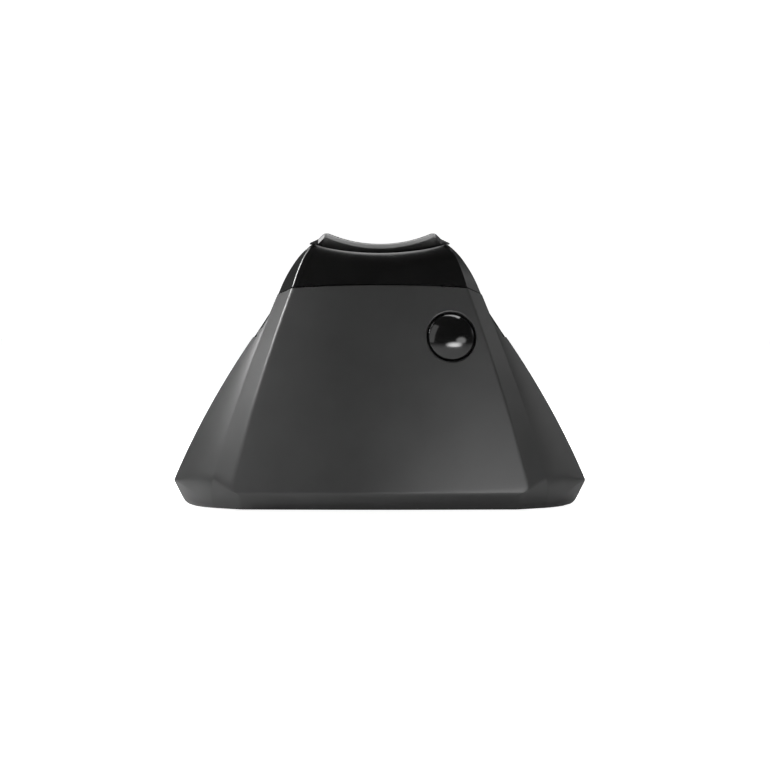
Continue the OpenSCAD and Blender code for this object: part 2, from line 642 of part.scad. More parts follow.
module body() {
    color([0.12, 0.12, 0.13]) difference() {
        union() {
            difference() {
                loft([for (z = body_levels) [for (p = body_ring(z)) [p.x, p.y, z]]], notch = 3);
                difference() {
                    loft([for (z = bay_levels) [for (p = bay_ring(z)) [p.x, p.y, z]]]);
                    // Ribs between floor, deck and back wall
                    both_sides() for (x = bay_rib_x) translate([x, frame_back + 4, floor_h - 1])
                        cube([rib_t, far, far * 2]);
                }
                back_cells();
            }
            // Seats of the latch grommets
            at_studs() cylinder(r = grommet_r + grommet_wall, h = grommet_l + grommet_back);
        }
        // Pocket for the landing pad and slots for the jaws
        translate([-pocket_l / 2, pocket_front, -1]) cube([pocket_l, pocket_w, pocket_h + 1]);
        translate([-jaw_w / 2 - seat_gap, -far, -1])
            cube([jaw_w + 2 * seat_gap, far + pocket_front + eps, far - 1]);
        translate([-jaw_w / 2 - seat_gap, pocket_back - eps, -1])
            cube([jaw_w + 2 * seat_gap, jaw_t + seat_gap, jaw_top + 2]);
        at_studs() translate([0, 0, -far / 2]) cylinder(r = grommet_r, h = far / 2 + grommet_l);
        at_studs() cylinder(r = grommet_r - 1, h = grommet_l + grommet_back + 2);
        // Opening in the deck for the frame, and holes for the screws
        translate([-frame_w / 2 - seat_gap, frame_front - seat_gap, deck_h - deck_t - 1])
            cube([frame_w + 2 * seat_gap, frame_d + 2 * seat_gap, deck_t + 2]);
        both_sides() for (y = cap_boss_y) translate([boss_x, y, deck_h - deck_t - 1])
            cylinder(r = cap_screw_d / 2 + hole_gap, h = deck_t + 2);
        both_sides() for (y = frame_screw_y) translate([frame_screw_x, y, floor_h - floor_t + 1])
            cylinder(r = frame_screw_d / 2 + run_gap, h = floor_t);
        both_sides() translate([jaw_screw_x, jaw_screw_y, floor_h - floor_t + 1])
            cylinder(r = jaw_screw_d / 2 + run_gap, h = floor_t);
    }
}

module latch_grommets() {
    color([0.05, 0.05, 0.05]) at_studs() difference() {
        cylinder(r = grommet_r, h = grommet_l);
        translate([0, 0, -1]) cylinder(r = stud_r + 0.5, h = grommet_l + 2);
    }
}

// Four rubber strips with rounded ends: one at each side of the pocket, two under the back wall
module strip(x0, x1, y0, y1) {
    r = min(3, (y1 - y0) / 2 - eps);
    linear_extrude(strip_t) union() {
        translate([x0 + r, y0]) square([x1 - x0 - 2 * r, y1 - y0]);
        translate([x0, y0 + r]) square([x1 - x0, y1 - y0 - 2 * r]);
        for (x = [x0 + r, x1 - r], y = [y0 + r, y1 - r]) translate([x, y]) circle(r);
    }
}
strip_in = jaw_w / 2 + strip_t;
strip_end = foot_w / 2 - strip_end_w;
module base_strips() {
    color([0.05, 0.05, 0.05]) both_sides() {
        strip(strip_in, strip_end - 2, pocket_back + 2, foot_d / 2 - 4);
        strip(pocket_l / 2 + strip_t, strip_end, pocket_front + strip_t, pocket_back - 2);
    }
}

// Pressed steel frame between saddle and floor
frame_x = frame_w / 2;
frame_screw_x = frame_x + foot_l / 2;
frame_screw_y = [frame_front + frame_edge, frame_back - frame_edge];
module inner_frame() {
    color([0.55, 0.56, 0.58]) difference() {
        union() {
            translate([-frame_x, frame_front, frame_top_h - frame_t]) cube([frame_w, frame_d, frame_t]);
            both_sides() {
                translate([frame_x - frame_t, frame_front, floor_h])
                    cube([frame_t, frame_d, frame_top_h - floor_h]);
                translate([frame_x - frame_t, frame_front, floor_h])
                    cube([foot_l + frame_t, frame_d, frame_t]);
            }
        }
        translate([0, tee_y, frame_top_h - frame_t - 1]) cylinder(r = bolt_r + hole_gap, h = frame_t + 2);
        both_sides() for (y = frame_screw_y) translate([frame_screw_x, y, floor_h - 1])
            cylinder(r = frame_screw_d / 2 + hole_gap, h = frame_t + 2);
        // Round lightening window in each leg
        rod_x(frame_d / 2 - frame_edge, -frame_w, frame_w, tee_y, (floor_h + frame_top_h) / 2 + window_lift);
    }
}

module frame_screws() {
    color([0.7, 0.7, 0.72]) both_sides() for (y = frame_screw_y)
        translate([frame_screw_x, y, floor_h + frame_t]) screw(frame_screw_d, frame_t + floor_t - 1);
}

// Carrier under the pad: concave on top, hollowed below for the frame's plate
pad_front = crown(seat_h, pad_w / 2) + cap_t + pad_gap;
pad_back = back_y(seat_h - pad_t) - cap_t - pad_gap;
carrier_top = seat_h - pad_t;
module arc_cut(r, h) {
    translate([0, h + r]) circle(r, $fn = 180);
}
module saddle_carrier() {
    w = pad_w / 2;
    color([0.2, 0.2, 0.21]) difference() {
        along_y(pad_front, pad_back) difference() {
            translate([-w, deck_h]) square([pad_w, far]);
            arc_cut(carrier_r, carrier_top);
        }
        translate([-frame_x - seat_gap, frame_front - seat_gap, deck_h - 1])
            cube([frame_w + 2 * seat_gap, frame_d + 2 * seat_gap, frame_top_h - deck_h + 1 + eps]);
        translate([-bolt_r - seat_gap, tee_y - bolt_r - seat_gap, deck_h])
            cube([bolt_d + 2 * seat_gap, bolt_d + 2 * seat_gap, far]);
        translate([-tee_w / 2 - seat_gap, tee_y - tee_d / 2 - seat_gap, tee_low])
            cube([tee_w + 2 * seat_gap, tee_d + 2 * seat_gap, far]);
    }
}

crest_h = seat_h + saddle_r - sqrt(saddle_r * saddle_r - crest_w * crest_w / 4);
end_h = crest_h - pad_end_w * pad_end_fall;
module pad_outline(drop) {
    w = pad_w / 2;
    difference() {
        polygon([[-w, carrier_top - 1], [w, carrier_top - 1], [w, end_h - drop],
            [crest_w / 2, crest_h - drop], [-crest_w / 2, crest_h - drop], [-w, end_h - drop]]);
        arc_cut(saddle_r, seat_h - drop);
        difference() {
            translate([-pad_w, carrier_top - 2]) square([2 * pad_w, far]);
            arc_cut(carrier_r, carrier_top);
        }
    }
}
flange_h = lip_end_h + 4 * run_gap;
module saddle_pad() {
    steps = 3;
    color([0.3, 0.3, 0.31]) difference() {
        union() {
            along_y(pad_front + pad_edge, pad_back - pad_edge) {
                pad_outline(0);
                // Flanges over the lips of the cap's side walls
                both_sides() polygon([[pad_w / 2 - 1, flange_h], [cap_top_w / 2, flange_h], [pad_w / 2, end_h],
                    [pad_w / 2 - 1, end_h]]);
            }
            for (i = [1:steps]) let (back_off = pad_edge * (1 - i / steps))
                along_y(pad_front + back_off, pad_back - back_off) pad_outline(pad_edge * i / steps);
        }
        translate([-tee_w / 2 - seat_gap, tee_y - tee_d / 2 - seat_gap, carrier_top - 2])
            cube([tee_w + 2 * seat_gap, tee_d + 2 * seat_gap, far]);
        // Grooves along the bar
        both_sides() for (i = [1, 2])
            let (x = crest_w / 2 - i * groove_step, h = seat_h + saddle_r - sqrt(saddle_r * saddle_r - x * x))
                translate([x - groove_w / 2, pad_front + groove_step, h - groove_d])
                    cube([groove_w, pad_back - pad_front - 2 * groove_step, far]);
    }
}

// Bar bolt: hammer head flush in the pad, square neck in the carrier
tee_low = carrier_top - 0.5;
module tee_bolt() {
    color([0.7, 0.7, 0.72]) union() {
        translate([-tee_w / 2, tee_y - tee_d / 2, tee_low]) cube([tee_w, tee_d, tee_t]);
        translate([-bolt_r, tee_y - bolt_r, tee_low - neck_h]) cube([bolt_d, bolt_d, neck_h + eps]);
        translate([0, tee_y, tee_low - tee_l]) cylinder(r = bolt_r, h = tee_l + eps);
    }
}
wheel_top = frame_top_h - frame_t - washer_t;
module thumb_wheel() {
    color([0.15, 0.15, 0.16]) translate([0, tee_y, wheel_top - wheel_h]) difference() {
        cylinder(d = wheel_d, h = wheel_h - 4 * run_gap);
        for (i = [0:scallops - 1]) rotate([0, 0, 360 / scallops * i])
            translate([wheel_d / 2 + scallop_r * 0.45, 0, -1]) cylinder(r = scallop_r, h = wheel_h + 2);
        translate([0, 0, -1]) cylinder(r = bolt_r + 2 * hole_gap, h = wheel_h + 2);
        translate([0, 0, wheel_h - nut_t]) hexagon(nut_af, nut_t + 1);
    }
}
module wheel_nut() {
    color([0.7, 0.7, 0.72]) translate([0, tee_y, wheel_top - nut_t]) difference() {
        hexagon(nut_af, nut_t);
        translate([0, 0, -1]) cylinder(r = bolt_r + run_gap, h = nut_t + 2);
    }
}
module wheel_washer() {
    color([0.75, 0.75, 0.76]) translate([0, tee_y, wheel_top]) difference() {
        cylinder(d = wheel_washer_d, h = washer_t);
        translate([0, 0, -1]) cylinder(r = bolt_r + hole_gap, h = washer_t + 2);
    }
}

// The jaws: plates with a hook under the landing pad's ledge
guide_x = frame_x - frame_t - rod_side_gap - rod_r;
jaw_top = clamp_h + jaw_rise;
jaw_foot_w = 2.5 * jaw_screw_d;
jaw_foot_t = 0.75 * jaw_screw_d;
jaw_screw_x = guide_x - 0.75 * jaw_screw_d;
jaw_screw_y = pocket_back - 1.5 * jaw_screw_d;
module fixed_jaw() {
    color([0.55, 0.56, 0.58]) difference() {
        union() {
            along_x(-jaw_w / 2, jaw_w / 2) polygon([[pocket_back, hook_h + hook_t + 1],
                [pocket_back - hook_l, hook_h + hook_t], [pocket_back - hook_l, hook_h],
                [pocket_back + jaw_t, hook_h], [pocket_back + jaw_t, jaw_top], [pocket_back, jaw_top]]);
            both_sides() translate([jaw_screw_x - jaw_foot_w / 2, jaw_screw_y - jaw_foot_w / 2, floor_h])
                cube([jaw_foot_w, pocket_back - jaw_screw_y + jaw_foot_w / 2 + eps, jaw_foot_t]);
        }
        // Narrow above the floor, between the frame's legs
        both_sides() translate([frame_x - frame_t - seat_gap, pocket_back - 1, floor_h - seat_gap])
            cube([far, jaw_t + 2, far]);
        rod(bolt_r + hole_gap, pocket_back - 1, pocket_back + jaw_t + 1, 0, clamp_h);
        both_sides() rod(rod_r + run_gap, pocket_back - 1, pocket_back + jaw_t + 1, guide_x, clamp_h);
        translate([0, pocket_back + jaw_t - nut_sink, clamp_h]) rotate([-90, 0, 0]) rotate([0, 0, 30])
            hexagon(nut_af + seat_gap, nut_sink + 1);
        both_sides() translate([jaw_screw_x, jaw_screw_y, floor_h - 1])
            cylinder(r = jaw_screw_d / 2 + hole_gap, h = jaw_foot_t + 2);
    }
}
module jaw_screws() {
    color([0.7, 0.7, 0.72]) both_sides() translate([jaw_screw_x, jaw_screw_y, floor_h + jaw_foot_t])
        screw(jaw_screw_d, jaw_foot_t + floor_t - 1);
}
module moving_jaw() {
    y1 = pocket_front;
    y0 = y1 - jaw_t;
    color([0.55, 0.56, 0.58]) difference() {
        along_x(-jaw_w / 2, jaw_w / 2) polygon([[y1, hook_h + hook_t + 1], [y1 + hook_l, hook_h + hook_t],
            [y1 + hook_l, hook_h], [y0, hook_h], [y0, jaw_top - 4], [y0 + 3, jaw_top], [y1, jaw_top]]);
        rod(bolt_r + hole_gap, y0 - 1, y1 + 1, 0, clamp_h);
        both_sides() rod(rod_r + run_gap, y0 - 1, y1 + 1, guide_x, clamp_h);
    }
}
module guide_rods() {
    color([0.75, 0.75, 0.76]) both_sides() rod(rod_r, rod_front, pocket_back + jaw_t, guide_x, clamp_h);
}
washer_front = pocket_front - jaw_t - washer_t;
bolt_out = bolt_d / 10;
module clamp_bolt() {
    color([0.3, 0.3, 0.32]) difference() {
        union() {
            rod(bolt_head_d / 2, washer_front - bolt_head_h, washer_front, 0, clamp_h);
            rod(bolt_r, washer_front - eps, pocket_back + jaw_t - nut_sink + nut_t + bolt_out, 0, clamp_h);
        }
        translate([0, washer_front - bolt_head_h - 1, clamp_h]) rotate([-90, 0, 0])
            hexagon(key_af, bolt_head_h - 1);
    }
}
module clamp_washer() {
    color([0.75, 0.75, 0.76]) difference() {
        rod(clamp_washer_d / 2, washer_front, washer_front + washer_t, 0, clamp_h);
        rod(bolt_r + hole_gap, washer_front - 1, washer_front + washer_t + 1, 0, clamp_h);
    }
}
module clamp_nut() {
    color([0.7, 0.7, 0.72]) difference() {
        translate([0, pocket_back + jaw_t - nut_sink, clamp_h]) rotate([-90, 0, 0]) rotate([0, 0, 30])
            hexagon(nut_af, nut_t);
        rod(bolt_r + run_gap, pocket_back, pocket_back + jaw_t + nut_t, 0, clamp_h);
    }
}
// Helix around the clamp bolt, between the jaws
module jaw_spring() {
    length = pocket_w - spring_wire;
    coil_r = bolt_r + 3 * hole_gap + spring_wire / 2;
    turn_n = 14;
    side_n = 6;
    n = spring_turns * turn_n;
    rows = [for (i = [0:n]) let (a = 360 * i / turn_n, y = pocket_front + spring_wire / 2 + length * i / n)
        [for (k = [0:side_n - 1]) let (b = -360 * k / side_n, r = coil_r + spring_wire / 2 * cos(b))
            [r * cos(a), y + spring_wire / 2 * sin(b), clamp_h + r * sin(a)]]];
    color([0.6, 0.6, 0.62]) loft(rows);
}

cover();
lock_housing();
housing_screws();
lock_plug();
plug_ring();
top_cap();
cap_screws();
body();
latch_grommets();
base_strips();
inner_frame();
frame_screws();
saddle_carrier();
saddle_pad();
tee_bolt();
thumb_wheel();
wheel_nut();
wheel_washer();
fixed_jaw();
jaw_screws();
moving_jaw();
guide_rods();
clamp_bolt();
clamp_washer();
clamp_nut();
jaw_spring();
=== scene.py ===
import math

import bmesh
import bpy
import numpy as np
from mathutils import Matrix, Vector


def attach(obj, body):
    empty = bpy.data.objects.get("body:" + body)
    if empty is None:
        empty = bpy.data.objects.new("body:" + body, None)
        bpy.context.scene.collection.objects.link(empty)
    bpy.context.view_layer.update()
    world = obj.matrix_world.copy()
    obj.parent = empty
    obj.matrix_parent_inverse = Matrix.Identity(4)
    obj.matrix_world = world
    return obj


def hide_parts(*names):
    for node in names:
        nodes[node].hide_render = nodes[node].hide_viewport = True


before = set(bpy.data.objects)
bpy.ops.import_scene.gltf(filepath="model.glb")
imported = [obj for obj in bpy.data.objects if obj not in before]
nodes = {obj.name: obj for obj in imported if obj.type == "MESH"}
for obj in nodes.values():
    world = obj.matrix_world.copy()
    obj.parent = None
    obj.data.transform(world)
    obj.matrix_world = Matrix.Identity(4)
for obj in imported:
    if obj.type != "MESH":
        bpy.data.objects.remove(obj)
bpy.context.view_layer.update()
print("frame loaded:", len(nodes), "nodes")

# the photograph's view: metres, degrees below level, and millimetres of lens and sensor
camera = dict(place=(0.0023, -1.0, 0.118), pitch=3.75, lens=106.74, sensor=36, near=0.01)
camData = bpy.data.cameras.new("viewCamera")
camData.lens = camera["lens"]
camData.sensor_width = camera["sensor"]
camData.clip_start = camera["near"]
camObject = bpy.data.objects.new("viewCamera", camData)
camObject.location = camera["place"]
camObject.rotation_euler = (math.radians(90 - camera["pitch"]), 0, 0)
bpy.context.collection.objects.link(camObject)
bpy.context.scene.camera = camObject


def newMaterial(name):
    mat = bpy.data.materials.new(name)
    mat.use_nodes = True
    return mat, mat.node_tree, mat.node_tree.nodes["Principled BSDF"]


def objectCoords(tree, scale=(1, 1, 1)):
    coords = tree.nodes.new("ShaderNodeTexCoord")
    mapping = tree.nodes.new("ShaderNodeMapping")
    mapping.inputs["Scale"].default_value = scale
    tree.links.new(coords.outputs["Object"], mapping.inputs["Vector"])
    return mapping.outputs["Vector"]


def noise(tree, vector, scale, detail=3.0, rough=0.5):
    node = tree.nodes.new("ShaderNodeTexNoise")
    node.inputs["Scale"].default_value = scale
    node.inputs["Detail"].default_value = detail
    node.inputs["Roughness"].default_value = rough
    tree.links.new(vector, node.inputs["Vector"])
    return node.outputs["Fac"]


def ramp(tree, value, stops):
    node = tree.nodes.new("ShaderNodeValToRGB")
    while len(node.color_ramp.elements) < len(stops):
        node.color_ramp.elements.new(0.5)
    for element, (place, colour) in zip(node.color_ramp.elements, stops):
        element.position = place
        element.color = (*colour, 1)
    tree.links.new(value, node.inputs["Fac"])
    return node.outputs["Color"]


def spread(tree, value, low, high):
    node = tree.nodes.new("ShaderNodeMapRange")
    node.inputs["To Min"].default_value = low
    node.inputs["To Max"].default_value = high
    tree.links.new(value, node.inputs["Value"])
    return node.outputs["Result"]


def bump(tree, shader, height, strength, distance):
    node = tree.nodes.new("ShaderNodeBump")
    node.inputs["Strength"].default_value = strength
    node.inputs["Distance"].default_value = distance
    tree.links.new(height, node.inputs["Height"])
    tree.links.new(node.outputs["Normal"], shader.inputs["Normal"])


def grey(v):
    return (v, v, v)


def mouldedPlastic(name, tone, rough, grain=0.06):
    mat, tree, shader = newMaterial(name)
    vector = objectCoords(tree)
    clouds = noise(tree, vector, scale=45, detail=4)
    colour = ramp(tree, clouds, [(0.3, grey(tone * 0.88)), (0.7, grey(tone * 1.12))])
    tree.links.new(colour, shader.inputs["Base Color"])
    patches = noise(tree, vector, scale=160)
    tree.links.new(spread(tree, patches, rough - 0.03, rough + 0.03), shader.inputs["Roughness"])
    cells = tree.nodes.new("ShaderNodeTexVoronoi")  # the mould's fine etched grain
    cells.inputs["Scale"].default_value = 2600
    tree.links.new(vector, cells.inputs["Vector"])
    bump(tree, shader, cells.outputs["Distance"], strength=grain, distance=0.00006)
    return mat


def polishedPlastic(name, tone, rough, ripple=0.04, specular=0.5):
    mat, tree, shader = newMaterial(name)
    vector = objectCoords(tree)
    smears = noise(tree, vector, scale=70, detail=5, rough=0.6)
    shader.inputs["Base Color"].default_value = (*grey(tone), 1)
    tree.links.new(spread(tree, smears, rough * 0.7, rough * 1.5), shader.inputs["Roughness"])
    shader.inputs["Specular IOR Level"].default_value = specular
    if ripple:
        waves = noise(tree, vector, scale=28, detail=2)
        bump(tree, shader, waves, strength=ripple, distance=0.0004)
    return mat


def rubber(name, tone, rough, grain=0.15, specular=0.5):
    mat, tree, shader = newMaterial(name)
    vector = objectCoords(tree)
    dust = noise(tree, vector, scale=120, detail=6, rough=0.65)
    colour = ramp(tree, dust, [(0.35, grey(tone * 0.85)), (0.75, grey(tone * 1.2))])
    tree.links.new(colour, shader.inputs["Base Color"])
    tree.links.new(spread(tree, dust, rough - 0.06, rough + 0.06), shader.inputs["Roughness"])
    shader.inputs["Specular IOR Level"].default_value = specular
    pores = noise(tree, vector, scale=1500, detail=2)
    bump(tree, shader, pores, strength=grain, distance=0.00008)
    return mat


def metal(name, tone, rough, tint=(1, 1, 1), brush=(1, 1, 12)):
    mat, tree, shader = newMaterial(name)
    vector = objectCoords(tree, scale=brush)
    lines = noise(tree, vector, scale=260, rough=0.6)
    low = tuple(tone * 0.82 * t for t in tint)
    high = tuple(tone * 1.08 * t for t in tint)
    tree.links.new(ramp(tree, lines, [(0.3, low), (0.7, high)]), shader.inputs["Base Color"])
    tree.links.new(spread(tree, lines, rough - 0.05, rough + 0.08), shader.inputs["Roughness"])
    shader.inputs["Metallic"].default_value = 1
    bump(tree, shader, lines, strength=0.08, distance=0.00005)
    return mat


# name, tone and roughness; tones are linear, so plastic and rubber are near black
finish = dict(
    cover=mouldedPlastic("coverGrain", 0.022, 0.40),
    body=mouldedPlastic("bodyGrain", 0.018, 0.46),
    carrier=mouldedPlastic("carrierGrain", 0.012, 0.50),
    inner=mouldedPlastic("innerBlack", 0.012, 0.42, grain=0.03),
    cap=polishedPlastic("capGloss", 0.003, 0.20),
    plug=polishedPlastic("plugGloss", 0.004, 0.09, ripple=0, specular=0.6),
    pad=rubber("padRubber", 0.020, 0.30, grain=0.08, specular=0.85),
    strip=rubber("stripRubber", 0.022, 0.60),
    seal=rubber("sealRubber", 0.014, 0.45),
    zinc=metal("zincPlate", 0.56, 0.34, tint=(1, 0.99, 0.96)),
    jaw=metal("jawSteel", 0.50, 0.38, tint=(1, 0.99, 0.97), brush=(1, 12, 1)),
    rod=metal("groundRod", 0.66, 0.20, brush=(12, 1, 12)),
    wire=metal("springWire", 0.55, 0.28, brush=(8, 1, 8)),
    bolt=metal("boltZinc", 0.50, 0.30, tint=(1, 0.98, 0.93)),
)
print("materials:", len(finish))


def pieceFrom(name, mesh, mat, body, replaced, angle=35, weighted=False):
    for poly in mesh.polygons:
        poly.use_smooth = True
    mesh.set_sharp_from_angle(angle=math.radians(angle))
    mesh.materials.clear()
    mesh.materials.append(mat)
    if weighted:  # large faces stay flat beside narrow rounded edges
        work = loose(name, mesh)
        mod = work.modifiers.new("weighted", "WEIGHTED_NORMAL")
        mod.keep_sharp = True
        mesh = applied(work)
    mesh.name = name
    piece = bpy.data.objects.new(name, mesh)
    bpy.context.collection.objects.link(piece)
    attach(piece, body)
    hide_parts(*replaced)


def applied(obj):  # the object's modifiers made real
    bpy.context.view_layer.update()
    graph = bpy.context.evaluated_depsgraph_get()
    mesh = bpy.data.meshes.new_from_object(obj.evaluated_get(graph))
    bpy.data.objects.remove(obj)
    return mesh


def loose(name, mesh):
    obj = bpy.data.objects.new(name, mesh)
    bpy.context.collection.objects.link(obj)
    return obj


def meshOf(name, points, faces, unit=0.001):
    mesh = bpy.data.meshes.new(name)
    mesh.from_pydata([tuple(unit * c for c in p) for p in points], [], faces)
    mesh.update()
    return mesh


def bevelled(obj, width, segments=3, angle=50):  # width in millimetres, edges sharper than angle
    mod = obj.modifiers.new("edge", "BEVEL")
    mod.width = width / 1000
    mod.segments = segments
    mod.limit_method = "ANGLE"
    mod.angle_limit = math.radians(angle)
    mod.use_clamp_overlap = True


def cutAway(obj, cutter, mode):
    mod = obj.modifiers.new("cut", "BOOLEAN")
    mod.operation = mode
    mod.solver = "EXACT"
    mod.object = cutter


def lathe(profile, place, steps=96):  # a closed profile of (radius, height), turned round
    points, faces, count = [], [], len(profile)
    for i in range(steps):
        a = 2 * math.pi * i / steps
        points += [(r * math.cos(a), r * math.sin(a), h) for r, h in profile]
    for i in range(steps):
        j = (i + 1) % steps
        for k in range(count):
            m = (k + 1) % count
            faces.append((i * count + k, j * count + k, j * count + m, i * count + m))
    mesh = meshOf("lathe", points, faces)
    work = bmesh.new()
    work.from_mesh(mesh)
    bmesh.ops.remove_doubles(work, verts=work.verts, dist=1e-7)
    bmesh.ops.dissolve_degenerate(work, dist=1e-8, edges=work.edges)
    bmesh.ops.recalc_face_normals(work, faces=work.faces)
    work.to_mesh(mesh)
    work.free()
    mesh.transform(place)
    return mesh


def boxMesh(low, high):
    x0, y0, z0 = low
    x1, y1, z1 = high
    points = [(x, y, z) for z in (z0, z1) for y in (y0, y1) for x in (x0, x1)]
    faces = [(0, 2, 3, 1), (4, 5, 7, 6), (0, 1, 5, 4), (2, 6, 7, 3), (0, 4, 6, 2), (1, 3, 7, 5)]
    return meshOf("box", points, faces)


# the skin that cover, cap and body share, in millimetres and degrees
skin = dict(
    width=180, depth=88, seam=96.7, seat=114.2, wide=10.8, wall=2.4,
    low=2, lowFall=1.85, lowRound=2.8, tuck=5, sideTuck=4.5,  # the band below
    creaseMiddle=9.3, creaseCorner=8.1, creaseRim=11.3, cornerRound=3.6,  # the edge above it
    faceLow=126.8, faceTop=74.2, faceBow=1.3, faceRadius=200, lean=13.1,
    bevelLow=9.7, bevelTop=5.1, bevelDepth=8, bevelThin=0.1,
    flare=0.42, flareGain=0.00216, wingRun=1.15, wingBow=0.25, returnWidth=0.6,
    notch=75, notchWidth=1.8, relief=1.1, seamFall=20,
    lipDrop=-0.1, lipSag=3.9, capTop=60.4, capFace=59.2, capBow=0.35,
    backLean=3.5, backLow=0.88, backTop=0.97, backCrown=0.5,
    cornerLow=12, cornerTop=7, cornerLip=3.5)
lipEnd = skin["seat"] - skin["lipDrop"]


def lerp(a, b, t):
    return a + (b - a) * t


def above(z):  # height over the widest level
    return max(z - skin["wide"], 0)


def rise(z):  # 0 at the widest level, 1 at the seam
    return min(above(z) / (skin["seam"] - skin["wide"]), 1)


def taper(z):  # 0 at the seam, 1 at the lip
    t = max(z - skin["seam"], 0) / (lipEnd - skin["seam"])
    return (1 - skin["capBow"]) * t + skin["capBow"] * t * t


def faceY(z):
    lean = math.tan(math.radians(skin["lean"]))
    return max(z - skin["creaseMiddle"], 0) * lean - skin["depth"] / 2


def bulge(z):  # a parabola that is highest half way
    return 4 * skin["faceBow"] * rise(z) * (1 - rise(z))


def faceX(z):
    narrowing = (skin["faceTop"] - skin["capFace"]) / 2
    return lerp(skin["faceLow"], skin["faceTop"], rise(z)) / 2 + bulge(z) - narrowing * taper(z)


def bevelX(z):
    low = skin["faceLow"] / 2 + skin["bevelLow"]
    top = skin["faceTop"] / 2 + skin["bevelTop"]
    return lerp(low, top, rise(z)) + bulge(z) - (top - skin["capTop"] / 2) * taper(z)


def crown(z, x):
    return faceY(z) + x * x / (2 * skin["faceRadius"])


def bevelY(z):
    return crown(z, faceX(z)) + skin["bevelDepth"] * lerp(1, skin["bevelThin"], taper(z))


def wingW(z):
    a = max(z - skin["creaseRim"], 0)
    a *= (skin["seam"] - skin["wide"]) / (skin["seam"] - skin["creaseRim"])
    rim = skin["width"] / 2 - skin["flare"] * a - skin["flareGain"] * a ** 2
    return max(rim - bevelX(z), skin["returnWidth"])


def eased(t):
    t = min(max(t, 0), 1)
    return t * t * (3 - 2 * t)


def creaseZ(x):  # height of the edge above the lower band
    a, corner = abs(x), skin["faceLow"] / 2
    if a < corner:
        return lerp(skin["creaseMiddle"], skin["creaseCorner"], (a / corner) ** 2)
    t = (a - corner) / (skin["width"] / 2 - corner)
    return lerp(skin["creaseCorner"], skin["creaseRim"], eased(t))


def under(z, x):  # 0 at the edge above the lower band, 1 at the band's foot
    crease = creaseZ(x)
    return max(crease - z, 0) / (crease - skin["low"])


def lowZ(x):  # the lower edge falls towards the rims
    return skin["low"] - skin["lowFall"] * min((2 * x / skin["width"]) ** 2, 1)


def rounding(height, radius):  # how far a rounded lower corner is set in at this height
    v = min(max(1 - height / radius, 0), 1)
    return radius * (1 - math.sqrt(1 - v * v))


def sideIn(z):
    foot = rounding(z - skin["low"] + skin["lowFall"], skin["lowRound"])
    return skin["sideTuck"] * under(z, skin["width"] / 2) + foot


def cornerIn(z):  # at the face's lower corners
    return rounding(z - skin["creaseCorner"], skin["cornerRound"])


def relief(z):  # above the notch the wing's rim is set back
    return skin["relief"] * min(max((z - skin["notch"]) / skin["notchWidth"], 0), 1)


def seamZ(y):
    run = skin["faceTop"] ** 2 / (8 * skin["faceRadius"]) + skin["bevelDepth"]
    behind = min(max(y - faceY(skin["seam"]), 0), run)
    return skin["seam"] - behind * math.tan(math.radians(skin["seamFall"]))


def insetLine(points, d, closed):  # inward is to the left of the line's direction
    p = np.array(points, float)
    ahead = np.roll(p, -1, axis=0) - p
    back = p - np.roll(p, 1, axis=0)
    if not closed:
        ahead[-1] = back[-1]
        back[0] = ahead[0]
    a = ahead / np.linalg.norm(ahead, axis=1)[:, None]
    b = back / np.linalg.norm(back, axis=1)[:, None]
    left = np.stack([-b[:, 1], b[:, 0]], 1)
    right = np.stack([-a[:, 1], a[:, 0]], 1)
    return p + d * (left + right) / (1 + (left * right).sum(1))[:, None]


def curved(a, b, c, t):  # a quadratic curve from a to c, drawn towards b
    return (1 - t) ** 2 * a + 2 * t * (1 - t) * b + t * t * c


def softened(points, corners):  # rounds the corners given as index: (reach, steps)
    p = np.array(points, float)
    count = len(p)
    out = []
    for i in range(count):
        if i not in corners:
            out.append(p[i])
            continue
        reach, steps = corners[i]
        before, after = p[i - 1], p[(i + 1) % count]
        a, b = before - p[i], after - p[i]
        la, lb = np.linalg.norm(a), np.linalg.norm(b)
        d = min(reach, 0.45 * la, 0.45 * lb)  # neighbouring corners stay apart
        start, end = p[i] + a / la * d, p[i] + b / lb * d
        out += [curved(start, p[i], end, k / steps) for k in range(steps + 1)]
    return np.array(out)


coverGrid = dict(faceSteps=14, wingSteps=12, cornerSteps=5, faceReach=1.1, bevelReach=1.5,
                 innerReach=0.8, wingLeast=0.05, tuckFade=0.7, rimPower=4)


def coverLine(z):  # from the left rim round the front to the right rim
    g = coverGrid
    n, steps = g["faceSteps"], g["wingSteps"]
    side, w = faceX(z) - cornerIn(z), wingW(z)
    half = [(side * i / n, crown(z, side * i / n)) for i in range(n + 1)]
    part = max(w - relief(z), g["wingLeast"]) / w
    for t in [part * i / steps for i in range(steps + 1)]:
        bow = 1 - skin["wingBow"] + skin["wingBow"] * t
        half.append((bevelX(z) + w * t, bevelY(z) + w * t * skin["wingRun"] * bow))
    line = np.array([(-x, y) for x, y in half[:0:-1]] + half)
    share = (2 * line[:, 0] / skin["width"]) ** g["rimPower"]  # 1 at the rims, soon 0 inwards
    line[:, 1] += [skin["tuck"] * under(z, x) for x in line[:, 0]] * (1 - g["tuckFade"] * share)
    line[:, 0] *= 1 - 2 * sideIn(z) / skin["width"] * share
    m = len(half) - 1
    return line, {m - n: "face", m + n: "face", m - n - 1: "bevel", m + n + 1: "bevel"}


def coverRow(z, depth):
    g = coverGrid
    line, marks = coverLine(z)
    reach = dict(face=g["faceReach"], bevel=g["bevelReach"])
    if depth:
        line = insetLine(line, depth, False)
        reach = dict.fromkeys(reach, g["innerReach"])
    return softened(line, {i: (reach[k], g["cornerSteps"]) for i, k in marks.items()})


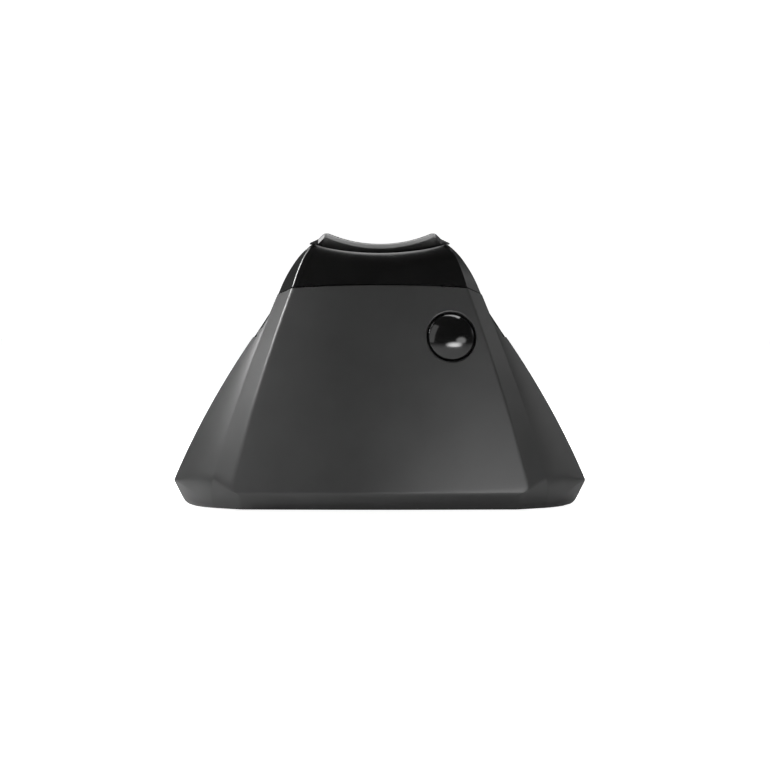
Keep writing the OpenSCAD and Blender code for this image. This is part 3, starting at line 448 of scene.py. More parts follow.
def levelTable(rowAt, low, high, step):  # rows on fixed levels, to be read between them
    count = int(math.ceil((high - low) / step)) + 1
    rows = np.array([rowAt(low + i * step) for i in range(count)])

    def read(z, j):
        t = min(max((z - low) / step, 0), count - 1.001)  # stays just below the last row
        i = int(t)
        return lerp(rows[i][j], rows[i + 1][j], t - i)
    return read, rows.shape[1]


def closedWall(outer, inner, wrap):  # quads round two grids of rows
    rows, cols = len(outer), len(outer[0])
    points = [p for grid in (outer, inner) for row in grid for p in row]
    k = rows * cols
    pairs = [(c, (c + 1) % cols) for c in range(cols if wrap else cols - 1)]
    faces = []
    for r in range(rows - 1):
        a, b = r * cols, (r + 1) * cols
        for c, d in pairs:
            faces.append((a + c, a + d, b + d, b + c))
            faces.append((k + a + c, k + b + c, k + b + d, k + a + d))
    top = (rows - 1) * cols
    for c, d in pairs:
        faces.append((c, k + c, k + d, d))
        faces.append((top + c, top + d, k + top + d, k + top + c))
    if not wrap:
        last = cols - 1
        for r in range(rows - 1):
            a, b = r * cols, (r + 1) * cols
            faces.append((a, b, k + b, k + a))
            faces.append((a + last, k + a + last, k + b + last, b + last))
    return points, faces


def carved(obj, tools):  # tools: (mesh, mode), in the order of the cuts
    cutters = []
    for mesh, mode in tools:
        cutters.append(loose("cutter", mesh))
        cutAway(obj, cutters[-1], mode)
    result = applied(obj)
    for cutter in cutters:
        bpy.data.objects.remove(cutter)
    return result


def placed(x, y, z):
    return Matrix.Translation((x / 1000, y / 1000, z / 1000))


# the lock's place on the face, its boss and recess, and the plug in it
lock = dict(x=30.7, z=74.9,
            boss=27, bossDepth=8, bossRound=0.6, bossSink=1.2, bore=7.3, boreSpare=1,
            recess=21.4, recessDepth=4, recessRound=0.3,
            mouth=0.7, mouthSink=0.15, mouthSteps=8, mouthSpare=0.5, above=2,
            dome=20, domeRise=3.6, domeLift=1.3, domeShare=0.975, domeSteps=40, collar=1.8,
            stem=14, stemLength=12, stemRound=0.5, foot=0.2, gap=0.3)
lockNormal = Vector((lock["x"] / skin["faceRadius"], -1, math.tan(math.radians(skin["lean"]))))
lockNormal.normalize()
lockTurn = Matrix.Rotation(math.atan2(lockNormal.y, lockNormal.x), 4, "Z")
lockTilt = Matrix.Rotation(math.acos(lockNormal.z), 4, "Y")
lockSpot = Vector((lock["x"], crown(lock["z"], lock["x"]), lock["z"])) / 1000
lockFrame = Matrix.Translation(lockSpot) @ (lockTurn @ lockTilt)

coverShape = dict(lowSpare=0.2, highSpare=0.4, levelStep=0.2, rim=0.3,
                  bandRound=0.8, wingRound=4.8, rimRound=0.5, cornerLead=1, cornerRun=9, rimRun=10,
                  bandRows=(0, 0.04, 0.1, 0.18, 0.3, 0.45, 0.7, 1), bandSteps=6,
                  riseRows=22, riseCrowding=1.25,
                  ribs=(-26, -10, 10), ribThick=1.6, ribFoot=24.8, ribTop=61.4,
                  studX=48, studHeights=(15, 58), studRadius=2.5, studGap=8, studGrip=4,
                  studSink=0.6, studNose=0.4, studTaper=0.72, studTip=0.6, studSteps=40,
                  notchReach=30)


def bandRadius(x):  # crisp under the face and at the rims, soft between them
    s = coverShape
    a, rimStart = abs(x), skin["width"] / 2 - s["rimRun"]
    softStart = skin["faceLow"] / 2 - s["cornerLead"]
    if a < softStart + s["cornerRun"]:
        return lerp(s["bandRound"], s["wingRound"], eased((a - softStart) / s["cornerRun"]))
    return lerp(s["wingRound"], s["rimRound"], eased((a - rimStart) / s["rimRun"]))


def coverSkin(depth):  # rows of points from the lower edge up to the seam
    s = coverShape
    low, high = skin["low"] - skin["lowFall"] - s["lowSpare"], skin["seam"] + s["highSpare"]
    read, cols = levelTable(lambda z: coverRow(z, depth), low, high, s["levelStep"])

    def laid(row):
        return [(*read(z, j), z) for j, z in enumerate(row)]

    xs = [read(skin["wide"], j)[0] for j in range(cols)]
    bends = [(creaseZ(x), bandRadius(x)) for x in xs]
    grid = [laid([lerp(lowZ(x), c - r, t) for x, (c, r) in zip(xs, bends)])
            for t in s["bandRows"]]
    for k in range(1, s["bandSteps"]):  # rounding of the edge above the lower band
        row = []
        for j, (z, r) in enumerate(bends):
            ends = [np.array((*read(level, j), level)) for level in (z - r, z, z + r)]
            row.append(tuple(curved(*ends, k / s["bandSteps"])))
        grid.append(row)
    tops = [seamZ(read(skin["seam"], j)[1]) for j in range(cols)]
    for i in range(s["riseRows"] + 1):
        t = (i / s["riseRows"]) ** s["riseCrowding"]
        grid.append(laid([lerp(c + r, top, t) for (c, r), top in zip(bends, tops)]))
    return grid


def lockMeshes():  # the boss behind the face, the recess in it and the bore through both
    k = lock
    half, back = k["boss"] / 2, -k["bossDepth"]
    boss = [(0, back), (half - k["bossRound"], back), (half, back + k["bossRound"]),
            (half, -k["bossSink"]), (0, -k["bossSink"])]
    radius, floor, m = k["recess"] / 2, -k["recessDepth"], k["mouth"]
    turns = [math.pi / 2 * i / k["mouthSteps"] for i in range(k["mouthSteps"] + 1)]
    recess = [(0, floor), (radius - k["recessRound"], floor), (radius, floor + k["recessRound"])]
    recess += [(radius + m - m * math.cos(t), m * math.sin(t) - m - k["mouthSink"]) for t in turns]
    recess += [(radius + m + k["mouthSpare"], k["above"]), (0, k["above"])]
    end = back - k["boreSpare"]
    bore = [(0, end), (k["bore"], end), (k["bore"], 0), (0, 0)]
    return [lathe(profile, lockFrame) for profile in (boss, recess, bore)]


def ribMesh(x):
    s = coverShape
    half = s["ribThick"] / 2
    rib = boxMesh((-half, 0, 0), (half, skin["wall"], s["ribTop"] - s["ribFoot"]))
    foot = placed(x, crown(s["ribFoot"], x) + skin["wall"] / 2, s["ribFoot"])
    rib.transform(foot @ Matrix.Rotation(math.radians(-skin["lean"]), 4, "X"))
    return rib


def studMesh(x, z):
    s = coverShape
    r, grip, root = s["studRadius"], s["studGrip"], -s["studGap"] - s["studSink"]
    profile = [(0, root), (r, root), (r, 0), (r * s["studTaper"], grip - s["studNose"]),
               (r * s["studTip"], grip), (0, grip)]
    place = placed(x, crown(z, x) + skin["wall"] + s["studGap"], z)
    return lathe(profile, place @ Matrix.Rotation(-math.pi / 2, 4, "X"), s["studSteps"])


def notchMesh(side):
    z, half, reach = skin["notch"], skin["notchWidth"] / 2, coverShape["notchReach"]
    tool = boxMesh((-2 * half, -reach, -half), (reach, reach, half))
    rim = placed(bevelX(z) + wingW(z), bevelY(z) + wingW(z) * skin["wingRun"], z)
    turn = math.atan(skin["wingRun"] * (1 + skin["wingBow"]))
    tool.transform(rim @ Matrix.Rotation(turn, 4, "Z"))
    if side < 0:
        tool.transform(Matrix.Scale(-1, 4, (1, 0, 0)))
        tool.flip_normals()
    return tool


def makeCover():
    s = coverShape
    points, faces = closedWall(coverSkin(0), coverSkin(skin["wall"]), False)
    shell = loose("shell", meshOf("shell", points, faces))
    bevelled(shell, s["rim"], angle=55)
    shell = loose("shell", applied(shell))
    tools = list(zip(lockMeshes(), ("UNION", "DIFFERENCE", "DIFFERENCE")))
    tools += [(ribMesh(x), "UNION") for x in s["ribs"]]
    studs = [(x, z) for x in (-s["studX"], s["studX"]) for z in s["studHeights"]]
    tools += [(studMesh(x, z), "UNION") for x, z in studs]
    tools += [(notchMesh(side), "DIFFERENCE") for side in (-1, 1)]
    pieceFrom("outerCover", carved(shell, tools), finish["cover"], "cover",
              ["cover"], angle=32, weighted=True)


makeCover()
print("cover done")

capShape = dict(rows=28, crowding=1.7, seamGap=0.5, sideGap=0.1, gapLead=0.3, gapRun=1.2,
                lipHigh=6.5, lipRound=9, sideLip=0.3, lipRun=2, lipWall=0.7, rim=0.28,
                faceReach=0.6, sideReach=0.3, innerShare=0.5, cornerSteps=5, faceSteps=14,
                backSteps=8, low=88, spare=0.5, levelStep=0.4)


def backX(z, side):
    return side * lerp(skin["backLow"], skin["backTop"], rise(z))


def cornerR(z):
    low = lerp(skin["cornerLow"], skin["cornerTop"], rise(z))
    return lerp(low, skin["cornerLip"], taper(z))


def backY(z):
    return skin["depth"] / 2 - above(z) * math.tan(math.radians(skin["backLean"]))


def capLine(z):
    n, b = capShape["faceSteps"], capShape["backSteps"]
    half = [(faceX(z) * i / n, crown(z, faceX(z) * i / n)) for i in range(n + 1)]
    half.append((bevelX(z), bevelY(z)))
    x, y, r = backX(z, bevelX(z)), backY(z), cornerR(z)
    for t in [math.pi / 2 * i / b for i in range(b + 1)]:
        half.append((x - r * (1 - math.cos(t)), y - skin["backCrown"] - r * (1 - math.sin(t))))
    half.append((0, y))
    line = half + [(-px, py) for px, py in half[-2:0:-1]]
    total = len(line)
    return np.array(line), {n: "face", total - n: "face", n + 1: "side", total - n - 1: "side"}


def capRow(z, depth):
    s = capShape
    line, marks = capLine(z)
    share = 1
    if depth:
        line, share = insetLine(line, depth, True), s["innerShare"]
    reach = dict(face=share * s["faceReach"], side=share * s["sideReach"])
    return softened(line, {i: (reach[k], s["cornerSteps"]) for i, k in marks.items()})


def lipZ(x):
    return lipEnd - skin["lipSag"] * (1 - min((2 * x / skin["capFace"]) ** 2, 1))


def capFoot(y):  # the cap's lower edge, with a wider gap over the cover than over the body
    s = capShape
    front = eased((bevelY(skin["seam"]) + s["gapLead"] - y) / s["gapRun"])
    return seamZ(y) + lerp(s["sideGap"], s["seamGap"], front)


def makeCap():
    s = capShape
    levels = s["low"], lipEnd + s["spare"], s["levelStep"]
    readOut, cols = levelTable(lambda z: capRow(z, 0), *levels)
    readIn, _ = levelTable(lambda z: capRow(z, skin["wall"]), *levels)
    low = [capFoot(readOut(skin["seam"], j)[1]) for j in range(cols)]
    lip = [readOut(lipEnd, j) for j in range(cols)]
    high = [lipZ(x) for x, y in lip]
    front = [eased((bevelY(lipEnd) - y) / s["lipRun"] + 0.5) for x, y in lip]
    outer, inner = [], []
    for i in range(s["rows"] + 1):
        t = 1 - (1 - i / s["rows"]) ** s["crowding"]  # rows crowd towards the lip
        rowOut, rowIn = [], []
        for j in range(cols):
            z = lerp(low[j], high[j], t)
            a, b = readOut(z, j), readIn(z, j)
            left = max(s["lipHigh"] - (high[j] - z), 0)
            sink = s["lipRound"] - math.sqrt(s["lipRound"] ** 2 - left ** 2)
            sink *= lerp(s["sideLip"], 1, front[j])  # the side walls are rounded less
            rowOut.append((*lerp(a, b, sink / skin["wall"]), z))
            rowIn.append((*lerp(a, b, max(1, (sink + s["lipWall"]) / skin["wall"])), z))
        outer.append(rowOut)
        inner.append(rowIn)
    points, faces = closedWall(outer, inner, True)
    ring = loose("ring", meshOf("ring", points, faces))
    bevelled(ring, s["rim"])
    pieceFrom("topCap", applied(ring), finish["cap"], "foot", ["top_cap"],
              angle=40, weighted=True)


makeCap()
print("cap done")

pad = dict(width=53, crest=47.4, radius=59.3, undercut=2.2, thick=5, edge=2.0, gap=1.0, least=0.2,
           carrierRadius=80, side=36, round=0.8, roundShares=(-1, -0.6, -0.3, 0, 0.3, 0.6, 1),
           between=(0.3, 0.5, 0.7), rim=0.2, boltY=11, headWide=20.6, headDeep=12.6,
           headSpan=(100, 130), grooves=(-18.6, -14.6, 14.6, 18.6), grooveHalf=0.6,
           grooveDeep=1.5, grooveEnd=4, grooveOver=3, flange=30.2, flangeLow=114.0,
           flangeThick=0.7, flangeLap=1, endHigh=116.41)
padFront = crown(skin["seat"], pad["width"] / 2) + skin["wall"] + pad["gap"]
padBack = backY(skin["seat"] - pad["thick"]) - skin["wall"] - pad["gap"]


def bowl(level, radius, x):  # a trough that is lowest at the middle
    return level + radius - math.sqrt(radius * radius - x * x)


def padTop(x):
    half, end, r, v = pad["crest"] / 2, pad["width"] / 2, pad["round"], abs(x)
    crestZ = bowl(skin["seat"], pad["radius"], half)

    def sharp(u):
        if u < half:
            return bowl(skin["seat"], pad["radius"], u)
        return lerp(crestZ, pad["endHigh"], (u - half) / (end - half))

    if abs(v - half) < r:  # rounding of the crest
        return curved(sharp(half - r), crestZ, sharp(half + r), (v - half + r) / (2 * r))
    return sharp(v)


def padUnder(x):
    return bowl(skin["seat"] - pad["thick"], pad["carrierRadius"], x)


def padSlab():
    n, half, e = pad["side"], pad["width"] / 2, pad["edge"]
    even = [half * (-1 + 2 * i / n) for i in range(n + 1)]
    crest = [pad["crest"] / 2 + d * pad["round"] for d in pad["roundShares"]]
    xs = sorted(set(even + crest + [-x for x in crest]))
    # the chamfer as (inset, drop), slightly rounded at both arrises
    chamfer = [(0, e + 0.1), (0.08, e - 0.1), (0.25, e - 0.28),
               (e - 0.35, 0.3), (e - 0.1, 0.12), (e + 0.3, 0)]

    def edgeLines(y, side):  # no drop stands for the underside
        return [(y + side * pad["undercut"], None)] + [(y + side * d, drop) for d, drop in chamfer]

    lines = edgeLines(padFront, 1) + [(lerp(padFront, padBack, t), 0) for t in pad["between"]]
    lines += edgeLines(padBack, -1)[::-1]
    points = []
    for y, drop in lines:
        for x in xs:
            z = padUnder(x)
            if drop is not None:
                z = max(padTop(x) - drop, z + pad["least"])
            points.append((x, y, z))
    rows, cols = len(lines), len(xs)
    last = (rows - 1) * cols
    faces = []
    for a in [r * cols + c for r in range(rows - 1) for c in range(cols - 1)]:
        faces.append((a, a + 1, a + cols + 1, a + cols))
    for c in range(cols - 1):
        faces.append((c, last + c, last + c + 1, c + 1))
    faces.append(tuple(r * cols for r in range(rows)))
    faces.append(tuple(r * cols + cols - 1 for r in range(rows - 1, -1, -1)))
    return meshOf("slab", points, faces)


def flangeMesh(side):  # reaches over the lip of the cap's side wall
    end, reach, low, high = pad["width"] / 2, pad["flange"], pad["flangeLow"], pad["endHigh"]
    lap = end - pad["flangeLap"]
    thick = pad["flangeThick"]
    section = [(lap, low), (reach, low), (reach, low + thick), (end, high), (lap, high)]
    span = (padFront + pad["edge"], padBack - pad["edge"])
    ends = [(side * x, y, z) for y in span for x, z in section]
    n = len(section)
    faces = [(i, (i + 1) % n, (i + 1) % n + n, i + n) for i in range(n)]
    faces += [tuple(range(n - 1, -1, -1)), tuple(range(n, 2 * n))]
    mesh = meshOf("flange", ends, faces)
    if side > 0:
        mesh.flip_normals()
    return mesh


def makePad():
    p = pad
    slab = loose("slab", padSlab())
    bevelled(slab, p["rim"], segments=2, angle=60)
    slab = loose("slab", applied(slab))
    wide, deep, (low, high) = p["headWide"] / 2, p["headDeep"] / 2, p["headSpan"]
    cuts = [boxMesh((-wide, p["boltY"] - deep, low), (wide, p["boltY"] + deep, high))]
    over = padTop(p["crest"] / 2) + p["grooveOver"]
    for x in p["grooves"]:
        start = (x - p["grooveHalf"], padFront + p["grooveEnd"], padTop(x) - p["grooveDeep"])
        cuts.append(boxMesh(start, (x + p["grooveHalf"], padBack - p["grooveEnd"], over)))
    tools = [(cut, "DIFFERENCE") for cut in cuts]
    tools += [(flangeMesh(side), "UNION") for side in (-1, 1)]
    pieceFrom("saddlePad", carved(slab, tools), finish["pad"], "foot",
              ["saddle_pad"], angle=32, weighted=True)


makePad()
print("pad done")


def makePlug():
    k = lock
    edge, stem, tip = k["dome"] / 2, k["stem"] / 2, -k["recessDepth"] - k["stemLength"]
    base = k["gap"] - k["recessDepth"]
    rim = base + k["collar"] + k["domeLift"]
    radius = (edge ** 2 + k["domeRise"] ** 2) / (2 * k["domeRise"])
    centre = rim + k["domeRise"] - radius
    widest, n = math.asin(edge / radius) * k["domeShare"], k["domeSteps"]
    dome = [(radius * math.sin(a), centre + radius * math.cos(a))
            for a in [widest * i / n for i in range(n + 1)]]
    side = [(edge - 0.1, rim - 0.08), (edge - 0.02, rim - 0.3), (edge, rim - 0.6),  # rounded rim
            (edge, base + k["foot"]), (edge - k["foot"], base)]
    shank = [(stem, base), (stem, tip + k["stemRound"]), (stem - k["stemRound"], tip), (0, tip)]
    mesh = lathe(dome + side + shank, lockFrame, steps=128)
    pieceFrom("lockPlug", mesh, finish["plug"], "plug", ["lock_plug"], angle=40)


makePlug()
print("plug done")


def addNode(tree, kind, values=None, **settings):
    node = tree.nodes.new(kind)
    for key, value in settings.items():
        setattr(node, key, value)
    for key, value in (values or {}).items():
        if isinstance(value, bpy.types.NodeSocket):
            tree.links.new(value, node.inputs[key])
        else:
            node.inputs[key].default_value = value
    return node


def made(tree, kind, values, **settings):  # the new node's first output
    return addNode(tree, kind, values, **settings).outputs[0]


def scaled(tree, socket, factor):
    return made(tree, "ShaderNodeMath", {0: socket, 1: factor}, operation="MULTIPLY")


def raised(tree, geometry, height):
    place = made(tree, "ShaderNodeCombineXYZ", {"Z": height})
    return made(tree, "GeometryNodeTransform", {"Geometry": geometry, "Translation": place})


def joined(tree, pieces):
    node = addNode(tree, "GeometryNodeJoinGeometry")
    for piece in pieces:
        tree.links.new(piece, node.inputs[0])
    return node.outputs[0]


def startTree(name, inputs):
    tree = bpy.data.node_groups.new(name, "GeometryNodeTree")
    tree.interface.new_socket("Geometry", in_out="INPUT", socket_type="NodeSocketGeometry")
    for label, kind in inputs.items():
        tree.interface.new_socket(label, in_out="INPUT", socket_type="NodeSocket" + kind)
    tree.interface.new_socket("Geometry", in_out="OUTPUT", socket_type="NodeSocketGeometry")
    return tree, tree.nodes.new("NodeGroupInput").outputs


def endTree(tree, geometry, material):
    real = made(tree, "GeometryNodeRealizeInstances", {"Geometry": geometry})
    finished = made(tree, "GeometryNodeSetMaterial", {"Geometry": real, "Material": material})
    tree.links.new(finished, tree.nodes.new("NodeGroupOutput").inputs[0])
    return tree


def grown(name, mesh, tree, values):  # the tree's result as a plain mesh
    obj = loose(name, mesh)
    mod = obj.modifiers.new("grow", "NODES")
    mod.node_group = tree
    for item in tree.interface.items_tree:
        if item.in_out == "INPUT" and item.name in values:
            mod[item.identifier] = values[item.name]
    return applied(obj)


# a socket-head screw as shares of its diameter, and of its pitch for the ridges' depth and start
screwForm = dict(headHigh=0.48, topHigh=0.12, topRadius=0.87, keyRadius=0.404, keyDeep=0.6,
                 keyMiddle=0.62, core=0.43, ridge=0.5, ridgeDeep=0.5, ridgeStart=-0.7,
                 headSides=40, shankSides=28,
                 ofDiameter=("headHigh", "topHigh", "topRadius", "keyRadius", "keyDeep",
                             "keyMiddle", "core", "ridge"))


def screwTree():  # a screw on each point, along the point's axis attribute
    tree, given = startTree("screwTree", {"Diameter": "Float", "Length": "Float",
                                          "Pitch": "Float", "Finish": "Material"})
    d, length, pitch, f = given["Diameter"], given["Length"], given["Pitch"], screwForm
    share = {key: scaled(tree, d, f[key]) for key in f["ofDiameter"]}

    def drum(sides, radius, depth, height):
        form = {"Vertices": sides, "Radius": radius, "Depth": depth}
        return raised(tree, made(tree, "GeometryNodeMeshCylinder", form), height)

    def cone(sides, low, high, depth):
        return made(tree, "GeometryNodeMeshCone", {"Vertices": sides, "Radius Bottom": low,
                                                   "Radius Top": high, "Depth": depth})

    middle = scaled(tree, d, f["headHigh"] / 2)
    top = cone(f["headSides"], d, share["topRadius"], share["topHigh"])
    head = joined(tree, [drum(f["headSides"], d, share["headHigh"], middle),
                         raised(tree, top, share["headHigh"])])
    key = drum(6, share["keyRadius"], share["keyDeep"], share["keyMiddle"])
    cut = addNode(tree, "GeometryNodeMeshBoolean", {"Mesh 1": head, "Mesh 2": key},
                  operation="DIFFERENCE", solver="EXACT")
    cut.inputs["Self Intersection"].default_value = True
    shank = drum(f["shankSides"], share["core"], length, scaled(tree, length, -0.5))
    turns = made(tree, "ShaderNodeMath", {0: length, 1: pitch}, operation="DIVIDE")
    step = made(tree, "ShaderNodeCombineXYZ", {"Z": scaled(tree, pitch, -1.0)})
    first = made(tree, "ShaderNodeCombineXYZ", {"Z": scaled(tree, pitch, f["ridgeStart"])})
    line = made(tree, "GeometryNodeMeshLine",
                {"Count": turns, "Start Location": first, "Offset": step}, mode="OFFSET")
    ridgeDeep = scaled(tree, pitch, f["ridgeDeep"])
    ridge = cone(f["shankSides"], share["ridge"], share["core"], ridgeDeep)
    ridges = made(tree, "GeometryNodeInstanceOnPoints", {"Points": line, "Instance": ridge})
    whole = joined(tree, [cut.outputs[0], shank, ridges])
    axis = addNode(tree, "GeometryNodeInputNamedAttribute", {"Name": "axis"},
                   data_type="FLOAT_VECTOR").outputs["Attribute"]
    turn = made(tree, "FunctionNodeAlignRotationToVector", {"Vector": axis}, axis="Z")
    seated = made(tree, "GeometryNodeInstanceOnPoints",
                  {"Points": given["Geometry"], "Instance": whole, "Rotation": turn})
    return endTree(tree, seated, given["Finish"])


housingSeats = [lockFrame @ Vector((x / 1000, 0, -0.010)) for x in (-11.3, 11.3)]
screws = dict(
    cap=dict(node="cap_screws", body="foot", size=3, length=10, pitch=0.6, axis=(0, 0, -1),
             places=[(x, y, 89.04) for x in (-31.2, 31.2) for y in (-4, 26)]),
    frame=dict(node="frame_screws", body="foot", size=5, length=6.5, pitch=0.8, axis=(0, 0, 1),
               places=[(x, y, 21) for x in (-33.5, 33.5) for y in (2, 20)]),
    jaw=dict(node="jaw_screws", body="foot", size=4, length=7, pitch=0.7, axis=(0, 0, 1),
             places=[(x, 17, 21.5) for x in (-14, 14)]),
    housing=dict(node="housing_screws", body="cover", size=2.2, length=4.4, pitch=0.45,
                 axis=tuple(-lockNormal), places=[tuple(1000 * seat) for seat in housingSeats]),
)
screwGroup = screwTree()
for kind, screw in screws.items():
    seats = meshOf(kind + "Seats", screw["places"], [])
    axes = seats.attributes.new("axis", "FLOAT_VECTOR", "POINT")
    axes.data.foreach_set("vector", list(screw["axis"]) * len(screw["places"]))
    values = {"Diameter": screw["size"] / 1000, "Length": screw["length"] / 1000,
              "Pitch": screw["pitch"] / 1000, "Finish": finish["zinc"]}
    pieceFrom(kind + "Screws", grown(kind + "Screws", seats, screwGroup, values), finish["zinc"],
              screw["body"], [screw["node"]])
print("screws seated:", sum(len(screw["places"]) for screw in screws.values()))

spring = dict(turns=7.0, radius=5.6, length=34.6, wire=1.4, front=-12.3, height=30,
              turnSteps=44, wireSteps=16)


def springTree():
    tree, given = startTree("springTree", {"Turns": "Float", "Radius": "Float",
                                           "Length": "Float", "Wire": "Float",
                                           "Place": "Vector", "Finish": "Material"})
    coil = made(tree, "GeometryNodeCurveSpiral",
                {"Resolution": spring["turnSteps"], "Rotations": given["Turns"],
                 "Start Radius": given["Radius"], "End Radius": given["Radius"],
                 "Height": given["Length"], "Reverse": True})
    section = made(tree, "GeometryNodeCurvePrimitiveCircle",
                   {"Resolution": spring["wireSteps"], "Radius": scaled(tree, given["Wire"], 0.5)},
                   mode="RADIUS")
    wire = made(tree, "GeometryNodeCurveToMesh",
                {"Curve": coil, "Profile Curve": section, "Fill Caps": True})
    laid = made(tree, "GeometryNodeTransform", {"Geometry": wire, "Translation": given["Place"],
                                                "Rotation": (-math.pi / 2, 0, 0)})
    return endTree(tree, laid, given["Finish"])


springMesh = grown("spring", meshOf("springSeat", [(0, 0, 0)], []), springTree(),
                   {"Turns": spring["turns"], "Radius": spring["radius"] / 1000,
                    "Length": spring["length"] / 1000, "Wire": spring["wire"] / 1000,
                    "Place": (0, spring["front"] / 1000, spring["height"] / 1000),
                    "Finish": finish["wire"]})
pieceFrom("jawSpring", springMesh, finish["wire"], "foot", ["jaw_spring"], angle=40)
print("spring wound")


def softNode(name, width):  # a welded copy of a CAD node with its edges broken
    source = nodes[name]
    mesh = source.data.copy()
    mesh.transform(source.matrix_world)
    work = bmesh.new()
    work.from_mesh(mesh)
    bmesh.ops.remove_doubles(work, verts=work.verts, dist=1e-6)
    flat = math.radians(0.5)
    bmesh.ops.dissolve_limit(work, angle_limit=flat, verts=work.verts, edges=work.edges)
    work.to_mesh(mesh)
    work.free()
    if not width:
        return mesh
    obj = loose("soft", mesh)
    bevelled(obj, width, segments=2, angle=40)
    return applied(obj)


# the other nodes: welded copies with broken edges, as (body, slot, finish, edge)
dressed = dict(
    body=("foot", "body_plastic", "body", 0.35),
    saddle_carrier=("foot", "carrier_plastic", "carrier", 0.25),
    lock_housing=("cover", "housing_plastic", "inner", 0.2),
    thumb_wheel=("wheel", "wheel_plastic", "inner", 0.4),
    inner_frame=("foot", "frame_steel", "zinc", 0.4),
    fixed_jaw=("foot", "jaw_steel", "jaw", 0.4),
    moving_jaw=("jaw", "jaw_steel", "jaw", 0.4),
    base_strips=("foot", "strip_rubber", "strip", 0.5),
    latch_grommets=("foot", "seal_rubber", "seal", 0.3),
    plug_ring=("plug", "seal_rubber", "seal", 0),
    guide_rods=("foot", "rod_steel", "rod", 0.4),
    clamp_bolt=("bolt", "bolt_steel", "bolt", 0.4),
    clamp_washer=("jaw", "washer_steel", "zinc", 0.2),
    wheel_washer=("foot", "washer_steel", "zinc", 0.2),
    clamp_nut=("foot", "bolt_steel", "bolt", 0.3),
    wheel_nut=("wheel", "bolt_steel", "bolt", 0.3),
    tee_bolt=("bar_bolt", "bolt_steel", "bolt", 0.4),
)
for node, (bodyName, slotName, finishName, width) in dressed.items():
    first, *others = node.split("_")
    pieceFrom(first + "".join(word.title() for word in others) + "Look", softNode(node, width),
              finish[finishName], bodyName, [node])
print("inner pieces dressed:", len(dressed))

studio = dict(floorTone=0.55, floorGlow=0.95, backGlow=1.0, mirrored=0.12, worldTone=0.03,
              horizonTone=0.08, horizonEnd=0.4, halfWidth=3, front=-2.2, back=1.6, high=2.4)


def stageMaterial(name, glow):  # glows white for the camera, far less in reflections
    mat = bpy.data.materials.new(name)
    mat.use_nodes = True
    tree = mat.node_tree
    tree.nodes.clear()
    path = tree.nodes.new("ShaderNodeLightPath")
    mirrored = scaled(tree, path.outputs["Is Glossy Ray"], studio["mirrored"])
    seen = path.outputs["Is Camera Ray"]
    for socket in (path.outputs["Is Transmission Ray"], mirrored):
        seen = made(tree, "ShaderNodeMath", {0: seen, 1: socket}, operation="MAXIMUM")
    emission = made(tree, "ShaderNodeEmission", {"Strength": scaled(tree, seen, glow)})
    diffuse = made(tree, "ShaderNodeBsdfDiffuse", {"Color": (*grey(studio["floorTone"]), 1)})
    both = made(tree, "ShaderNodeAddShader", {0: emission, 1: diffuse})
    addNode(tree, "ShaderNodeOutputMaterial", {"Surface": both})
    return mat


def stagePlane(name, points, glow):
    mesh = meshOf(name, points, [(0, 1, 2, 3)], 1)
    mesh.materials.append(stageMaterial(name + "White", glow))
    loose(name, mesh)


side, front, back, high = (studio[key] for key in ("halfWidth", "front", "back", "high"))
stagePlane("floor", [(-side, front, 0), (side, front, 0), (side, back, 0), (-side, back, 0)],
           studio["floorGlow"])
stagePlane("backdrop", [(-side, back, 0), (side, back, 0), (side, back, high), (-side, back, high)],
           studio["backGlow"])


def fade(tree, value, start, end, atStart, atEnd):  # eased from one tone to another
    values = {"Value": value, "From Min": start, "From Max": end,
              "To Min": atStart, "To Max": atEnd}
    node = addNode(tree, "ShaderNodeMapRange", values, interpolation_type="SMOOTHSTEP")
    return node.outputs["Result"]


world = bpy.data.worlds.new("studioWorld")
bpy.context.scene.world = world
world.use_nodes = True
worldTree = world.node_tree
lightPath = worldTree.nodes.new("ShaderNodeLightPath")
generated = worldTree.nodes.new("ShaderNodeTexCoord").outputs["Generated"]
worldUp = addNode(worldTree, "ShaderNodeSeparateXYZ", {0: generated}).outputs["Z"]
# brighter near the horizon, like the floor that it meets
worldFade = fade(worldTree, worldUp, 0.0, studio["horizonEnd"],
                 studio["horizonTone"], studio["worldTone"])
worldMix = addNode(worldTree, "ShaderNodeMapRange", {"Value": lightPath.outputs["Is Camera Ray"],
                                                     "To Min": worldFade, "To Max": 1.0})
background = worldTree.nodes["Background"]
worldTree.links.new(worldMix.outputs["Result"], background.inputs["Strength"])
background.inputs["Color"].default_value = (1, 1, 1, 1)


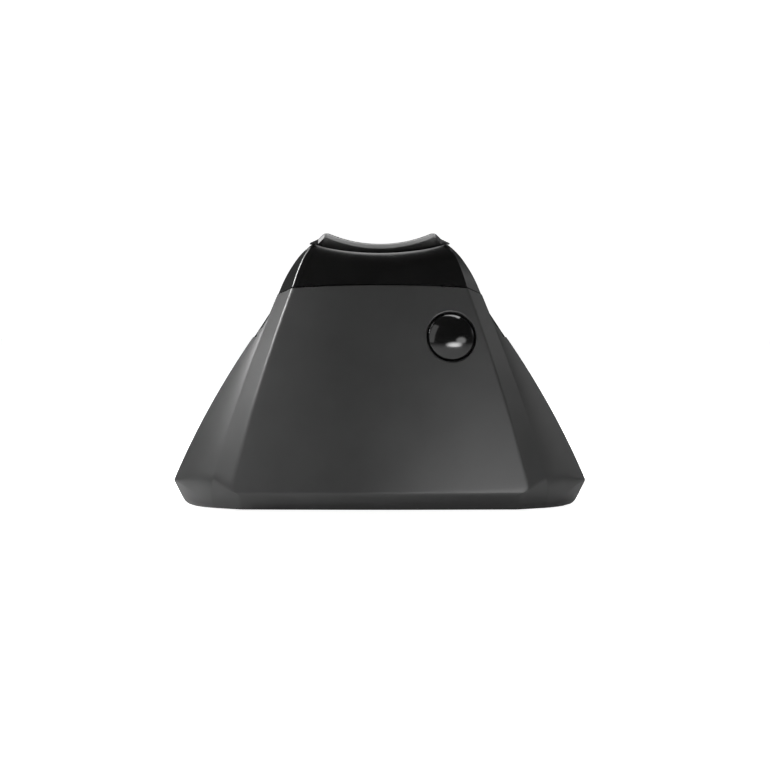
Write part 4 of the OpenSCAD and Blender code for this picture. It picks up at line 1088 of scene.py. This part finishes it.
def softEdge(data, share):  # the lamp fades towards its border over this share of its half width
    data.use_nodes = True
    tree = data.node_tree
    place = tree.nodes.new("ShaderNodeNewGeometry").outputs["Parametric"]
    centred = made(tree, "ShaderNodeVectorMath", {0: place, 1: (0.5, 0.5, 0)}, operation="SUBTRACT")
    out = addNode(tree, "ShaderNodeVectorMath", {0: centred}, operation="LENGTH").outputs["Value"]
    strength = fade(tree, out, 0.5 * (1 - share), 0.5, 1.0, 0.0)
    tree.links.new(strength, tree.nodes["Emission"].inputs["Strength"])


lamps = dict(
    top=dict(place=(0.0, 0.31, 0.75), aim=(0, 0.05, 0.1), size=(0.9, 0.6), power=8.5, soft=0),
    leftHigh=dict(place=(-0.46, 0.06, 0.56), aim=(-0.04, 0, 0.06), size=(0.44, 0.36), power=5.0,
                  soft=0.4),
    leftNear=dict(place=(-0.300, -0.035, 0.24), aim=(-0.05, 0, 0.07), size=(0.14, 0.14), power=3.0,
                  soft=0.6),
    leftCard=dict(place=(-0.664, -0.608, 0.52), aim=(0, -0.03, 0.075), size=(0.34, 1.0), power=1.1,
                  soft=0),
    rightSide=dict(place=(0.78, 0.26, 0.32), aim=(0, 0, 0.05), size=(0.5, 0.4), power=0.7,
                   soft=0.5),
    rightFront=dict(place=(0.66, -0.62, 0.16), aim=(0, -0.02, 0.04), size=(0.70, 0.40), power=2.6,
                    soft=0.6),
    lowRight=dict(place=(0.16, -0.32, 0.03), aim=(0.03, 0, 0.03), size=(0.40, 0.14), power=2.1,
                  soft=0.8),
)
for name, lamp in lamps.items():
    data = bpy.data.lights.new(name, "AREA")
    data.shape = "RECTANGLE"
    data.size, data.size_y = lamp["size"]
    data.energy = lamp["power"]
    if lamp["soft"]:
        softEdge(data, lamp["soft"])
    lampObject = bpy.data.objects.new(name, data)
    lampObject.location = lamp["place"]
    lampObject.rotation_mode = "QUATERNION"
    towards = Vector(lamp["aim"]) - Vector(lamp["place"])
    lampObject.rotation_quaternion = towards.to_track_quat("-Z", "Y")
    lampObject.visible_camera = False
    bpy.context.collection.objects.link(lampObject)
bpy.context.scene.view_settings.view_transform = "Standard"
print("studio lit")
